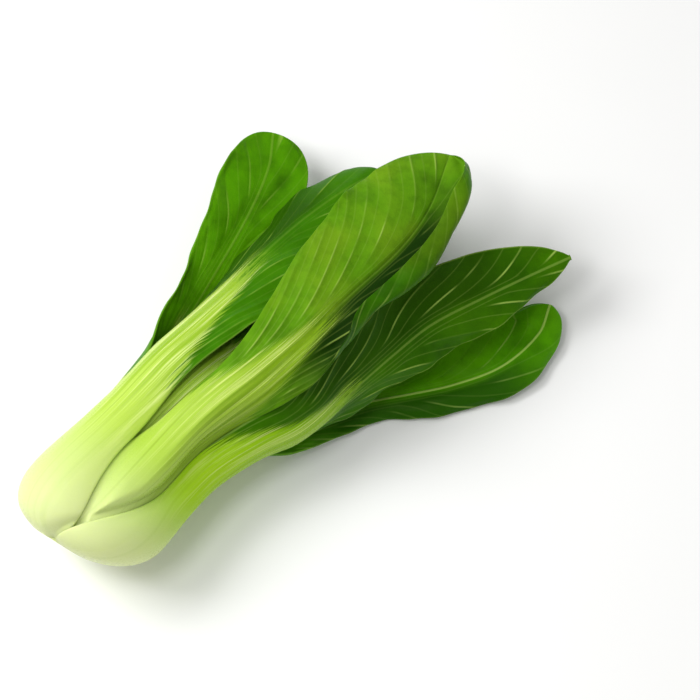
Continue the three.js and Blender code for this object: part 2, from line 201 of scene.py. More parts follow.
def waves(x: Array, y: Array, seed: float) -> Array:
    """A smooth random field, with one bump for about each unit of x and y.

    Args:
        x: One coordinate of each point.
        y: The other one.
        seed: Another number gives another field.

    Returns:
        Values between about -1 and 1.
    """
    total = np.zeros(np.broadcast(x, y).shape)
    for n in range(WAVE_TRAINS):
        turn = seed * 1.7 + n * GOLDEN_ANGLE
        reach = 4.0 + 1.1 * n
        total = total + np.sin(reach * (x * math.cos(turn) + y * math.sin(turn)) + seed * (3.1 + n))
    return total / WAVE_HEIGHT


def normals(surface: Array) -> Array:
    """The unit normals of a grid of points, towards the side where its rows run to the right.

    Args:
        surface: Points by row, column and axis.

    Returns:
        A normal for each point.
    """
    along = np.gradient(surface, axis=0)
    across = np.gradient(surface, axis=1)
    normal = np.cross(along, across)
    return normal / np.maximum(np.linalg.norm(normal, axis=2, keepdims=True), 1e-9)


# ---- a leaf's numbers -----------------------------------------------------------------------------


class Detail(Enum):
    """How finely a leaf's mesh is divided: rows along it, and columns on each half of it."""

    SHOWN = (330, 36)
    TUCKED = (150, 20)


@dataclass(frozen=True)
class LeafFinish:
    """Fresh leaf: a waxy skin over pale stalk flesh and green blade. Colours are sRGB.

    A leaf's left half is the one on the +Y side of a leaf that lies on top of the head.
    """

    foot: str = "#d9e3a2"  # blanched flesh at the cut end
    stalk: str = "#bbd957"  # the stalk's flesh above it
    shoulder: str = "#9dc136"  # where the stalk turns into the blade
    streak: str = "#e6f0a6"  # pale fibres in the stalk
    furrow: str = "#8fb62c"  # and between them; the painted shade on the stalk's flanks takes this colour too
    outer: str = "#3c7a00"  # the blade's outer face
    inner: str = "#4c8e00"  # ... and its inner one
    light: str = "#5a9a04"  # patches on both
    deep_and_shade: str = "#143f00"  # darker ones, and the colour of the painted shade in broad hollows and on a shaded half
    vein: str = "#a9cb52"
    dry: str = "#d3d69c"  # the cut foot
    veins: float = 0.6  # how plain the side veins are
    midrib: float = 0.3  # ... and the midrib
    outer_half_shade: tuple[float, float] = (0.0, 0.0)  # how deep the painted shade is on the outer face's left and right half
    inner_half_shade: tuple[float, float] = (0.0, 0.0)  # ... and on the inner face's
    hem: float = 0.12  # how plain the pale line along the blade's margin is
    flank_green_and_shade: tuple[float, float] = (0.0, 0.0)  # how much greener and darker the stalk's left and right margin is: partly its own greener edge, partly painted shade on a flank turned from the light
    stalk_rough: float = 0.3  # roughness of the stalk...
    outer_rough: float = 0.5  # ... of the blade's outer face...
    inner_rough: float = 0.42  # ... and of its inner one
    shine: float = 0.22  # how strongly the waxy skin reflects
    sheen: str = "#d3e296"  # the tint of its reflections


@dataclass(frozen=True)
class Leaf:
    """The numbers of one leaf.

    Lengths are in millimetres. Angles are in degrees, 0 on top of the head and 90 on its +Y side.
    """

    node: str  # the solid that it stands for
    slot: str  # the name of its material's slot
    angle: float  # its place round the head
    stalk: float  # half the stalk's width
    blade: float  # where the blade begins, from the cut
    half: tuple[float, float]  # the widths of the blade's left and right half
    turn: tuple[float, float]  # how far each of them is turned in, minus being outwards
    phase: float  # where the ripple along its margin starts, and the seed of its patterns
    path: tuple[tuple[float, float, float, float], ...]  # midrib points (x, y, z, roll)
    foot: tuple[float, float]  # half the angle that it takes round the head, at its foot and above
    start: float = 0.0  # where its foot is, from the cut
    narrows: tuple[float, float] = (8.0, 68.0)  # where the foot starts to narrow, and has
    waist: float = 1.0  # the share of the stalk's width that is left where the blade begins
    crown: tuple[float, float] = (0.0, 0.0)  # how far inside the bulb's outline, in it and beyond
    sag: float = 5.0  # how much lower the stalk's margins are than its crown
    flesh: float = 7.5  # the stalk's thickness
    curl: tuple[float, float] = (0.0, 0.0)  # a further turn of each half towards its margin
    roll: tuple[float, float] = (0.15, 0.9)  # the shares of the half width where the curl comes on
    fold: float = 0.0  # how deep a valley the blade's outer face has along the midrib
    pale: tuple[float, float] = (66.0, 110.0)  # where the pale flesh starts to give out, and ends
    taper: float = 1.2  # over 1 the pale flesh ends in a long point, under 1 in a blunt one
    outline: tuple[float, float, float] = (0.6, 5.0, 0.5)  # rise, shoulder and tip of the blade
    detail: Detail = Detail.SHOWN
    finish: LeafFinish = LeafFinish()

    @property
    def knots(self) -> Array:
        """The midrib's knots: two in the bulb, then the leaf's own path.

        Returns:
            Rows of [s, x, y, z, roll], with the roll in radians.
        """
        roll = math.radians(self.angle)
        rows: list[list[float]] = []
        for s in (self.start, BULB_KNOT):
            radius = float(through(BULB, s)) - self.crown[0] - self.flesh / 2
            rows.append([s, CUT_X + s, radius * math.sin(roll), AXIS_Z + radius * math.cos(roll), roll])
        for x, y, z, turned in self.path:
            step = math.dist((x, y, z), rows[-1][1:4])
            rows.append([rows[-1][0] + step, x, y, z, math.radians(turned)])
        return np.array(rows)

    @property
    def end(self) -> float:
        """How far the tip is from the cut, along the midrib."""
        return float(self.knots[-1, 0])

    def blade_share(self, s: Array) -> Array:
        """How far along the blade a place is: 0 where it begins, 1 at the tip."""
        return np.clip((s - self.blade) / (self.end - self.blade), 0.0, 1.0)

    def reach(self, s: Array) -> Array:
        """Half the angle that the stalk takes round the head.

        Args:
            s: Distances from the cut.

        Returns:
            The half angle at each, in radians.
        """
        low, high = np.radians(self.foot)
        foot = mix(low, high, ease(*FOOT_SPREADS, s - self.start))
        stalk = self.stalk * mix(1, self.waist, ease(*WAIST_FORMS, s))
        return mix(foot, stalk / through(BULB, s), ease(*self.narrows, s))

    def stalk_half(self, s: Array) -> Array:
        """Half the width of the fleshy stalk, which narrows along the blade to the midrib.

        Args:
            s: Distances from the cut.

        Returns:
            The half width at each.
        """
        held = np.minimum(s, self.blade)
        narrowed = self.blade_share(s) ** STALK_NARROWS
        return mix(self.reach(held) * through(BULB, held), MIDRIB_HALF, narrowed)

    def root_half(self, s: Array) -> Array:
        """How far from the midrib the side veins leave for the margin.

        Args:
            s: Distances from the cut.

        Returns:
            The distance from the midrib at each.
        """
        held = np.minimum(s, self.blade)
        base = self.reach(held) * through(BULB, held) + ROOT_SPREAD * np.maximum(0, self.blade - s)
        return mix(base, ROOT_TIP, self.blade_share(s) ** ROOT_NARROWS)

    def half_width(self, s: Array, side: int) -> Array:
        """The width of one half of the leaf.

        It is averaged along the leaf where the stalk runs out into the blade, so that the margin
        has no corner there.

        Args:
            s: Distances from the cut.
            side: 1 for the left half, -1 for the right one.

        Returns:
            The width of that half at each.
        """
        ending = ease(*(self.blade + place for place in EVEN_ENDS), s)
        step = EVEN_STEP * (1 - ending) * ease(*EVEN_STARTS, s)
        steps = range(-EVEN_REACH, EVEN_REACH + 1)
        return sum(self.plain_half_width(s + n * step, side) for n in steps) / len(steps)

    def plain_half_width(self, s: Array, side: int) -> Array:
        """The same before it is averaged.

        Args:
            s: Distances from the cut.
            side: 1 for the left half, -1 for the right one.

        Returns:
            The width of that half at each.
        """
        t = self.blade_share(s)
        rise, shoulder, tip = self.outline
        widest = (rise / (rise + shoulder * tip)) ** (1 / shoulder)
        peak = widest**rise * (1 - widest**shoulder) ** tip
        blade = self.half[0 if side > 0 else 1] * t**rise * (1 - t**shoulder) ** tip / peak
        held = np.minimum(s, self.blade)
        stalk = self.reach(held) * through(BULB, held) * (1 - ease(0, STALK_WIDTH_ENDS, t))
        return np.maximum(TIP_HALF, np.hypot(blade, stalk))

    def thickness(self, s: Array, across: Array) -> Array:
        """How thick the leaf is.

        Args:
            s: Distances from the cut.
            across: Distances from the midrib.

        Returns:
            The thickness at each place.
        """
        t = self.blade_share(s)
        ends = mix(1, TIP_THIN, ease(*(self.blade + place for place in FLESH_GIVES_OUT), s))
        flesh = self.flesh * mix(FOOT_THIN, 1, ease(*FOOT_FILLS, s - self.start)) * ends
        edge = mix(EDGE_THICK, BLADE_THICK, ease(0, EDGE_THINS, t))
        share = np.clip(1 - (across / self.stalk_half(s)) ** 2, 0.0, 1.0)
        return edge + np.maximum(0, flesh - edge) * share**FLESH_ROUND

    def turned(self, s: Array, side: int, share: Array) -> Array:
        """How far the outer face has turned on its way out from the midrib.

        Args:
            s: Distances from the cut.
            side: 1 for the left half, -1 for the right one.
            share: Shares of the half width.

        Returns:
            The turn at each place, in radians.
        """
        n = 0 if side > 0 else 1
        opened = ease(OPENS[0] * self.blade, self.blade + OPENS[1], s)
        rolled = ease(*(self.blade + place for place in CURLS), s)
        curl = math.radians(self.curl[n]) * ease(*self.roll, share) * rolled
        curl = curl * (1 - TIP_UNCURLS * ease(UNCURLS_FROM, 1, self.blade_share(s)))
        valley = math.radians(self.fold) * (1 - ease(0.0, FOLD_WIDTH, share)) * rolled
        return mix(self.reach(s) * share, math.radians(self.turn[n]) * share, opened) + curl - valley


# ---- the bundle of stalks -------------------------------------------------------------------------


def wrap(angle: Array) -> Array:
    """The same angle between -pi and pi."""
    return angle - 2 * math.pi * np.round(angle / (2 * math.pi))


def around(rings: Array, angle: Array) -> Array:
    """Reads rings at any angle, between the steps at which they are kept.

    Args:
        rings: A ring of values for each row.
        angle: The angles that are asked for in each row, in radians.

    Returns:
        The value at each of them.
    """
    place = (angle / (2 * math.pi)) % 1.0 * ANGLES
    n = np.floor(place).astype(int)
    row = np.arange(len(rings))[:, None]
    return mix(rings[row, n % ANGLES], rings[row, (n + 1) % ANGLES], place - n)


@dataclass
class Ring:
    """One stalk in the bundle: its outer and inner radius at every station and angle."""

    leaf: Leaf
    half: Array
    outer: Array
    inner: Array

    def roof(self, angle: Array) -> Array:
        """The inside of this stalk, which rises steeply past its margins.

        Args:
            angle: Angles round the head, in radians.

        Returns:
            The radius under which a younger stalk stays, at each of them.
        """
        middle = math.radians(self.leaf.angle)
        off = wrap(angle - middle)
        past = np.maximum(0.0, np.abs(off) - self.half)
        held = middle + np.clip(off, -self.half, self.half)
        return around(self.inner, held) + past * RAMP


def bundle(leaves: list[Leaf], s: Array) -> list[Ring]:
    """The stalks at given stations, packed from the oldest inwards.

    Args:
        leaves: All leaves, the oldest first.
        s: The stations, as a column.

    Returns:
        A ring for each leaf.
    """
    angle = np.linspace(0, 2 * math.pi, ANGLES, endpoint=False)[None, :]
    outline = through(BULB, s)
    core = through(CORE, s) + GAP
    rings: list[Ring] = []
    for leaf in leaves:
        half = leaf.reach(s)
        off = np.abs(wrap(angle - math.radians(leaf.angle)))
        crown = mix(*leaf.crown, ease(*CROWN_SETTLES, s))
        free = outline - crown - leaf.sag * np.minimum(SAG_ENDS, off / half) ** 2
        for ring in rings:
            free = soft_min(free, ring.roof(angle + 0 * s) - GAP, NESTLE)
        nearby = [np.roll(free, step, axis=1) for step in range(-LOOK, LOOK + 1)]
        radius = np.min(nearby, axis=0)
        inner = np.maximum(radius - leaf.thickness(s, off * outline), core)
        rings.append(Ring(leaf, half, np.maximum(radius, inner + THINNEST), inner))
    return rings


def on_axis(s: Array, radius: Array, angle: Array) -> Array:
    """Points of the bundle, before the cut's slant."""
    x = CUT_X + s + 0 * radius
    return np.stack([x, radius * np.sin(angle), AXIS_Z + radius * np.cos(angle)], axis=-1)


def settle(points: Array) -> Array:
    """Adds the slant of the cut, and flattens what would go into the table.

    Args:
        points: Places in the head before its cut is slanted.

    Returns:
        Where they come to lie.
    """
    lean = CUT_LEAN_Y * points[..., 1] + CUT_LEAN_Z * (points[..., 2] - AXIS_Z)
    placed = points.copy()
    placed[..., 0] -= lean * (1 - ease(0, LEAN_END, points[..., 0] - CUT_X))
    placed[..., 2] = np.maximum(placed[..., 2], TABLE_GAP)
    return placed


# ---- one leaf's surface ---------------------------------------------------------------------------


@dataclass
class Skin:
    """Both faces of a leaf as grids of points, and what its material needs to know at each point.

    Rows run along the leaf, and columns from one margin to the other.
    """

    outer: Array
    inner: Array
    across: Array  # signed distance from the midrib
    along: Array  # distance from the cut
    vein: Array  # 1, 2, 3 ... on the side veins, counted from the stalk
    spread: Array  # millimetres from one side vein to the next
    branched: Array  # 0 where the side veins still run along the midrib, 1 past it
    green: Array  # 0 in the stalk, 1 in the blade
    rim: Array  # distance from the margin


@dataclass(frozen=True)
class Relief:
    """The relief of a leaf's skin, in millimetres.

    A size is given across the leaf and along it, and a start says where something comes on.
    """

    ridge: tuple[float, float] = (0.4, 0.25)  # height of a side vein, at the stalk and at the tip
    ridge_width: tuple[float, float] = (0.95, 0.6)  # ... and its width
    groove: float = 0.2  # how far the inner face follows it
    dip: float = 0.3  # how far the skin sinks between two side veins...
    dip_at: float = 14.0  # ... that are this far apart
    pucker: float = 0.22  # height of the blade's small bumps
    pucker_size: tuple[float, float] = (13.0, 20.0)
    swell: float = 0.8  # ... and of its broad ones
    swell_size: tuple[float, float] = (34.0, 40.0)
    bumps_start: tuple[float, float] = (0.0, 6.0)  # from the midrib
    blade_start: tuple[float, float] = (0.0, 0.06)  # shares of the blade
    rib: float = 0.09  # height of the stalk's ribs
    rib_pitch: float = 2.6
    rib_drift: float = 1.5  # how far they wander, in radians
    rib_drift_size: tuple[float, float] = (16.0, 90.0)
    thread: float = 0.05  # height of the finer ones between them
    thread_pitch: float = 1.35
    ribs_start: tuple[float, float] = (20.0, 80.0)  # from the cut
    uneven: float = 0.25  # how uneven the stalk's flesh is
    uneven_size: tuple[float, float] = (22.0, 40.0)
    uneven_start: tuple[float, float] = (4.0, 24.0)  # from the cut
    inside: tuple[float, float] = (0.6, 3.0)  # from the margin, which stays plain


class LeafShape:
    """Works out a leaf's two faces from its numbers."""

    def __init__(self, leaf: Leaf, leaves: list[Leaf]) -> None:
        """Keeps the leaf, and the stations of its rows.

        Args:
            leaf: The leaf that is wanted.
            leaves: All leaves, the oldest first, for the bundle.
        """
        self.leaf = leaf
        self.leaves = leaves
        rows, self.columns = leaf.detail.value
        t = np.linspace(0, 1, rows + 1)
        t = mix(t, 0.5 - 0.5 * np.cos(math.pi * t), ENDS_FINER)
        self.s = mix(leaf.start, leaf.end, t)[:, None]

    def shares(self, width: Array) -> Array:
        """Places across one half, from 0 at the midrib to 1 at the margin and its rounding.

        Args:
            width: The half's width at each row.

        Returns:
            The shares of it at each row and column.
        """
        rounding = BLADE_THICK * BLADE_ROUND / width
        flat = np.linspace(0, 1, self.columns + 1)[None, :] * (1 - rounding)
        round_part = 1 - rounding * (1 - np.sin(np.radians(ROUNDING)))[None, :]
        return np.concatenate([flat, round_part], axis=1)

    def half(self, side: int, ring: Ring) -> tuple[Array, Array, Array]:
        """One half of both faces.

        Args:
            side: 1 for the left half, -1 for the right one.
            ring: The leaf's ring in the bundle.

        Returns:
            The outer points, the inner points and the shares of the half width.
        """
        leaf, s = self.leaf, self.s
        width = leaf.half_width(s, side)
        share = self.shares(width)
        place, out, across = self.frame()
        middle = (share[:, 1:] + share[:, :-1]) / 2
        step = np.diff(share, axis=1) * width
        angle = leaf.turned(s, side, middle)
        zero = np.zeros_like(width)
        sideways = np.concatenate([zero, np.cumsum(np.cos(angle) * step, axis=1)], axis=1)[..., None]
        inwards = np.concatenate([zero, np.cumsum(np.sin(angle) * step, axis=1)], axis=1)[..., None]
        surface = place[:, None] + side * sideways * across[:, None] - inwards * out[:, None]
        angle = leaf.turned(s, side, share)[..., None]
        normal = np.cos(angle) * out[:, None] + side * np.sin(angle) * across[:, None]
        height, length, near = MARGIN_WAVE
        ripple = height * np.sin(s / length + leaf.phase + side) * share**near
        height, length, near = MARGIN_FRILL
        frill = height * np.sin(s / length + 3 * leaf.phase + 2 * side) * share**near
        waved = ease(leaf.blade, leaf.blade + RIPPLE_STARTS, s)
        waved = waved * (1 - ease(RIPPLE_ENDS, 1, leaf.blade_share(s)))
        lift = (waved * (ripple + frill))[..., None]
        thick = leaf.thickness(s, share * width)[..., None]
        edge = mix(EDGE_THICK, BLADE_THICK, ease(0, EDGE_THINS, leaf.blade_share(s)))[..., None]
        flesh = thick - edge
        outer = surface + normal * (lift + edge / 2 + OUTER_FLESH * flesh)
        inner = surface + normal * (lift - edge / 2 - (1 - OUTER_FLESH) * flesh)
        where = math.radians(leaf.angle) + side * share * ring.half
        free = ease(FREE_FROM, FREE_AT, s)[..., None]
        outer = mix(on_axis(s, around(ring.outer, where), where), outer, free)
        inner = mix(on_axis(s, around(ring.inner, where), where), inner, free)
        return outer, inner, share

    def frame(self) -> tuple[Array, Array, Array]:
        """How the leaf lies at each row.

        Returns:
            The midrib's place, the way its outer face looks, and the way across to the left.
        """
        knots, s = self.leaf.knots, self.s[:, 0]

        def at(d: Array) -> Array:
            """A point of the midrib."""
            return np.stack([through(knots, d, column) for column in (1, 2, 3)], axis=1)

        along = at(s + 1) - at(s - 1)
        along /= np.linalg.norm(along, axis=1, keepdims=True)
        roll = through(knots, s, 4)
        out = np.stack([np.zeros_like(roll), np.sin(roll), np.cos(roll)], axis=1)
        out -= along * np.sum(out * along, axis=1, keepdims=True)
        out /= np.linalg.norm(out, axis=1, keepdims=True)
        return at(s), out, np.cross(out, along)

    def vein_count(self, across: Array, s: Array) -> Array:
        """Traces each point back along its side vein to the stalk, and counts the veins to there.

        Args:
            across: Distance from the midrib, never negative.
            s: Distance from the cut.

        Returns:
            A smooth count that is a whole number on every side vein.
        """
        leaf = self.leaf
        wide = max(leaf.half)
        low = np.full(across.shape, leaf.blade - VEIN_START)
        high = np.maximum(s + 0 * across, low)
        for _ in range(VEIN_HALVINGS):
            root = (low + high) / 2
            edge = leaf.root_half(root)
            run = np.maximum(across - edge, 0) / wide
            ahead = root + VEIN_LEAD * wide * run**VEIN_BEND > s
            low, high = np.where(ahead, low, root), np.where(ahead, root, high)
        edge = np.minimum(across, leaf.root_half(low))
        widest = float(leaf.stalk_half(np.array(leaf.blade)))
        counted = (widest + VEIN_COUNT[0] - edge) / (widest + VEIN_COUNT[1])
        return VEINS * np.clip(counted, 0.002, 1) ** VEIN_CROWDS

    def vein_spread(self, surface: Array, vein: Array) -> Array:
        """How far it is on the surface from one side vein to the next.

        Args:
            surface: Points by row, column and axis.
            vein: The count of side veins at each.

        Returns:
            That distance at each point, in millimetres.
        """
        row = np.maximum(np.linalg.norm(np.gradient(surface, axis=0), axis=2), 1e-3)
        column = np.maximum(np.linalg.norm(np.gradient(surface, axis=1), axis=2), 1e-3)
        slope = np.hypot(np.gradient(vein, axis=0) / row, np.gradient(vein, axis=1) / column)
        return 1 / np.clip(slope, *VEIN_DENSITY)

    def greenness(self, across: Array) -> Array:
        """How far the stalk's pale flesh has given way to green.

        Args:
            across: Signed distance from the midrib, by row and column.

        Returns:
            0 in the stalk and 1 in the blade, at each point.
        """
        leaf, s = self.leaf, self.s
        start, stop = leaf.pale
        held = np.minimum(s, start)
        remains = np.clip(1 - (s - start) / (stop - start), 0, 1) ** leaf.taper
        pale = PALE_WIDTH * leaf.reach(held) * through(BULB, held) * remains
        pale = np.maximum(pale, PALE_LEAST)
        into = (np.abs(across) - GREEN_FROM * pale) / np.maximum(GREEN_OVER * pale, GREEN_LEAST)
        beyond = ease(mix(start, stop, ALL_GREEN[0]), stop + ALL_GREEN[1], s)
        starting = ease(*(start + place for place in GREEN_STARTS), s)
        return np.maximum(ease(0.0, 1.0, into), beyond) * starting

    def skin(self) -> Skin:
        """The whole leaf, with the relief of its veins, ribs and puckers.

        Returns:
            Both faces, and what the material needs to know of them.
        """
        leaf, s = self.leaf, self.s
        ring = bundle(self.leaves, s)[self.leaves.index(leaf)]
        left, right = self.half(1, ring), self.half(-1, ring)

        def joined(of_right: Array, of_left: Array) -> Array:
            """Margin to margin, with the midrib once."""
            return np.concatenate([of_right[:, ::-1], of_left[:, 1:]], axis=1)

        outer = settle(joined(right[0], left[0]))
        inner = settle(joined(right[1], left[1]))
        share = joined(-right[2], left[2])
        right_width = leaf.half_width(s, -1) + 0 * right[2]
        width = joined(right_width, leaf.half_width(s, 1) + 0 * left[2])
        across = share * width
        along = s + 0 * across
        vein = self.vein_count(np.abs(across), s)
        wide, long = WANDER_SIZE
        stray = VEIN_WANDER * waves(across / wide + 3 * (across > 0), along / long, leaf.phase)
        vein += stray * ease(*WANDER_STARTS, vein)
        skin = Skin(
            outer=outer,
            inner=inner,
            across=across,
            along=along,
            vein=vein,
            spread=self.vein_spread((outer + inner) / 2, vein),
            branched=ease(0.0, VEIN_FREE, np.abs(across) - leaf.root_half(s)),
            green=self.greenness(across),
            rim=(1 - np.abs(share)) * width,
        )
        self.relief(skin)
        return skin

    def relief(self, skin: Skin, form: Relief = Relief()) -> None:
        """Raises the veins and ribs, sinks the inner face along them, and rounds the margins.

        Args:
            skin: The leaf's faces, which are changed.
            form: How high and wide the relief is.
        """
        seed = self.leaf.phase
        across, along = skin.across, skin.along
        t = self.leaf.blade_share(along)
        inside = ease(*form.inside, skin.rim)
        blade = skin.green * ease(*form.blade_start, t) * inside
        stalk = (1 - skin.green) * inside
        distance = np.abs(skin.vein - np.round(skin.vein)) * skin.spread
        ridge = np.exp(-((distance / mix(*form.ridge_width, t)) ** 2)) * blade * skin.branched
        dip = np.clip(0.5 - 0.5 * np.cos(2 * math.pi * skin.vein), 0, 1)
        dip = dip * np.clip(skin.spread / form.dip_at, 0, 1)
        wide, long = form.pucker_size
        bumps = waves(across / wide + np.sign(across), along / long, seed) * form.pucker
        wide, long = form.swell_size
        bumps += waves(across / wide, along / long, seed + 2) * form.swell
        lift = (bumps - form.dip * dip) * blade * ease(*form.bumps_start, np.abs(across))
        wide, long = form.rib_drift_size
        drift = form.rib_drift * waves(across / wide, along / long, seed)
        ribs = form.rib * np.cos(2 * math.pi * across / form.rib_pitch + drift)
        ribs = ribs + form.thread * np.cos(2 * math.pi * across / form.thread_pitch)
        ribs = ribs * ease(*form.ribs_start, along) * stalk
        wide, long = form.uneven_size
        uneven = form.uneven * waves(across / wide, along / long, seed + 9) * stalk
        uneven = uneven * ease(*form.uneven_start, along)
        out, back = normals(skin.outer), normals(skin.inner)
        sign = np.sign(np.sum(out * (skin.outer - skin.inner), axis=2).mean())
        from_rim = np.clip(skin.rim / (BLADE_THICK * BLADE_ROUND), 0, 1)
        rounded = np.sqrt(np.clip(1 - (1 - from_rim) ** 2, 0, 1))[..., None]
        half = (skin.outer - skin.inner) / 2 * rounded
        middle = (skin.outer + skin.inner) / 2
        raised = (lift + mix(*form.ridge, t) * ridge + ribs + uneven)[..., None] * rounded
        sunk = (lift + form.groove * ridge)[..., None] * rounded
        skin.outer = middle + half + sign * out * raised
        skin.inner = middle - half + sign * back * sunk
        for face, lowest in zip((skin.outer, skin.inner), LOWEST):
            face[..., 2] = np.maximum(face[..., 2], lowest)


# ---- making a piece -------------------------------------------------------------------------------

KNOWN = ("across", "along", "vein", "spread", "branched", "green", "rim")  # of both faces alike
NOTES = (*KNOWN, "facing", "cut")  # what a leaf's mesh notes at each point, for its material


def deselect() -> None:
    """Leaves nothing selected, so that an operator acts only on what is added next."""
    if bpy.context.object and bpy.context.object.mode != "OBJECT":
        bpy.ops.object.mode_set(mode="OBJECT")
    bpy.ops.object.select_all(action="DESELECT")


def rolled_sheet(name: str, skin: Skin) -> bpy.types.Object:
    """Makes a leaf as by hand: a flat grid is added, shaped, rolled shut and sewn at its seam.

    Args:
        name: The piece's name.
        skin: The leaf's two faces.

    Returns:
        The closed leaf.
    """

    def rolled(outer: Array, inner: Array) -> Array:
        """Out along the outer face and back along the inner one, to where it began."""
        return np.concatenate([outer, inner[:, -2:0:-1], outer[:, :1]], axis=1)

    def capped(values: Array, ends: Array) -> Array:
        """The same with a row added at each end, which closes the foot and the tip."""
        return np.concatenate([ends[:1], values, ends[-1:]], axis=0)

    middle = (skin.outer + skin.inner) / 2
    points = capped(rolled(skin.outer, skin.inner), rolled(middle, middle)) * MM
    rows, columns = points.shape[:2]
    deselect()
    bpy.ops.mesh.primitive_grid_add(x_subdivisions=columns - 1, y_subdivisions=rows - 1, size=1)
    sheet = bpy.context.object
    sheet.name = name
    sheet.data.name = name
    sheet.data.vertices.foreach_set("co", points.astype(np.float32).ravel())
    one = np.ones_like(skin.across)
    notes = {label: rolled(getattr(skin, label), getattr(skin, label)) for label in KNOWN}
    notes["facing"] = rolled(one, -one)
    notes = {label: capped(values, values) for label, values in notes.items()}
    notes["cut"] = np.zeros((rows, columns))
    notes["cut"][0] = 1.0
    for label in NOTES:
        layer = sheet.data.attributes.new(label, "FLOAT", "POINT")
        layer.data.foreach_set("value", notes[label].astype(np.float32).ravel())
    bpy.ops.object.mode_set(mode="EDIT")
    bpy.ops.mesh.select_all(action="SELECT")
    bpy.ops.mesh.remove_doubles(threshold=SEAM)
    bpy.ops.mesh.normals_make_consistent(inside=False)
    bpy.ops.object.mode_set(mode="OBJECT")
    bpy.ops.object.shade_smooth_by_angle(angle=math.radians(LEAF_CREASE))
    return sheet


# ---- materials ------------------------------------------------------------------------------------


def linear(colour: str) -> tuple[float, float, float, float]:
    """Turns a colour linear.

    Args:
        colour: An sRGB hex value.

    Returns:
        Linear red, green and blue, and an alpha of 1.
    """
    parts = [int(colour[n : n + 2], 16) / 255 for n in (1, 3, 5)]
    red, green, blue = (p / 12.92 if p <= 0.04045 else ((p + 0.055) / 1.055) ** 2.4 for p in parts)
    return red, green, blue, 1.0


def new_material(name: str) -> tuple[bpy.types.Material, bpy.types.NodeTree]:
    """Starts an empty material.

    Args:
        name: What the real material is.

    Returns:
        The material and its node tree.
    """
    material = bpy.data.materials.new(name)
    material.use_nodes = True
    material.node_tree.nodes.clear()
    return material, material.node_tree


def add(
    tree: bpy.types.NodeTree, kind: str, inputs: dict[int | str, Any] | None = None,
    out: int | str = 0, **settings: Any,
) -> bpy.types.NodeSocket | None:
    """Adds a node, sets it up and links it.

    Args:
        tree: The material's node tree.
        kind: The node's type, without its ShaderNode prefix.
        inputs: For each input, by number or name, a socket to link, a value or an sRGB hex colour.
        out: Which output is wanted.
        **settings: Properties of the node itself.

    Returns:
        The output that is wanted, or None from a node that has none.
    """
    node = tree.nodes.new("ShaderNode" + kind)
    for key, value in settings.items():
        setattr(node, key, value)
    for key, value in (inputs or {}).items():
        if isinstance(value, bpy.types.NodeSocket):
            tree.links.new(value, node.inputs[key])
        else:
            node.inputs[key].default_value = linear(value) if isinstance(value, str) else value
    return node.outputs[out] if len(node.outputs) else None


SMOOTH = {"interpolation_type": "SMOOTHSTEP"}
COLOUR = {"data_type": "RGBA"}


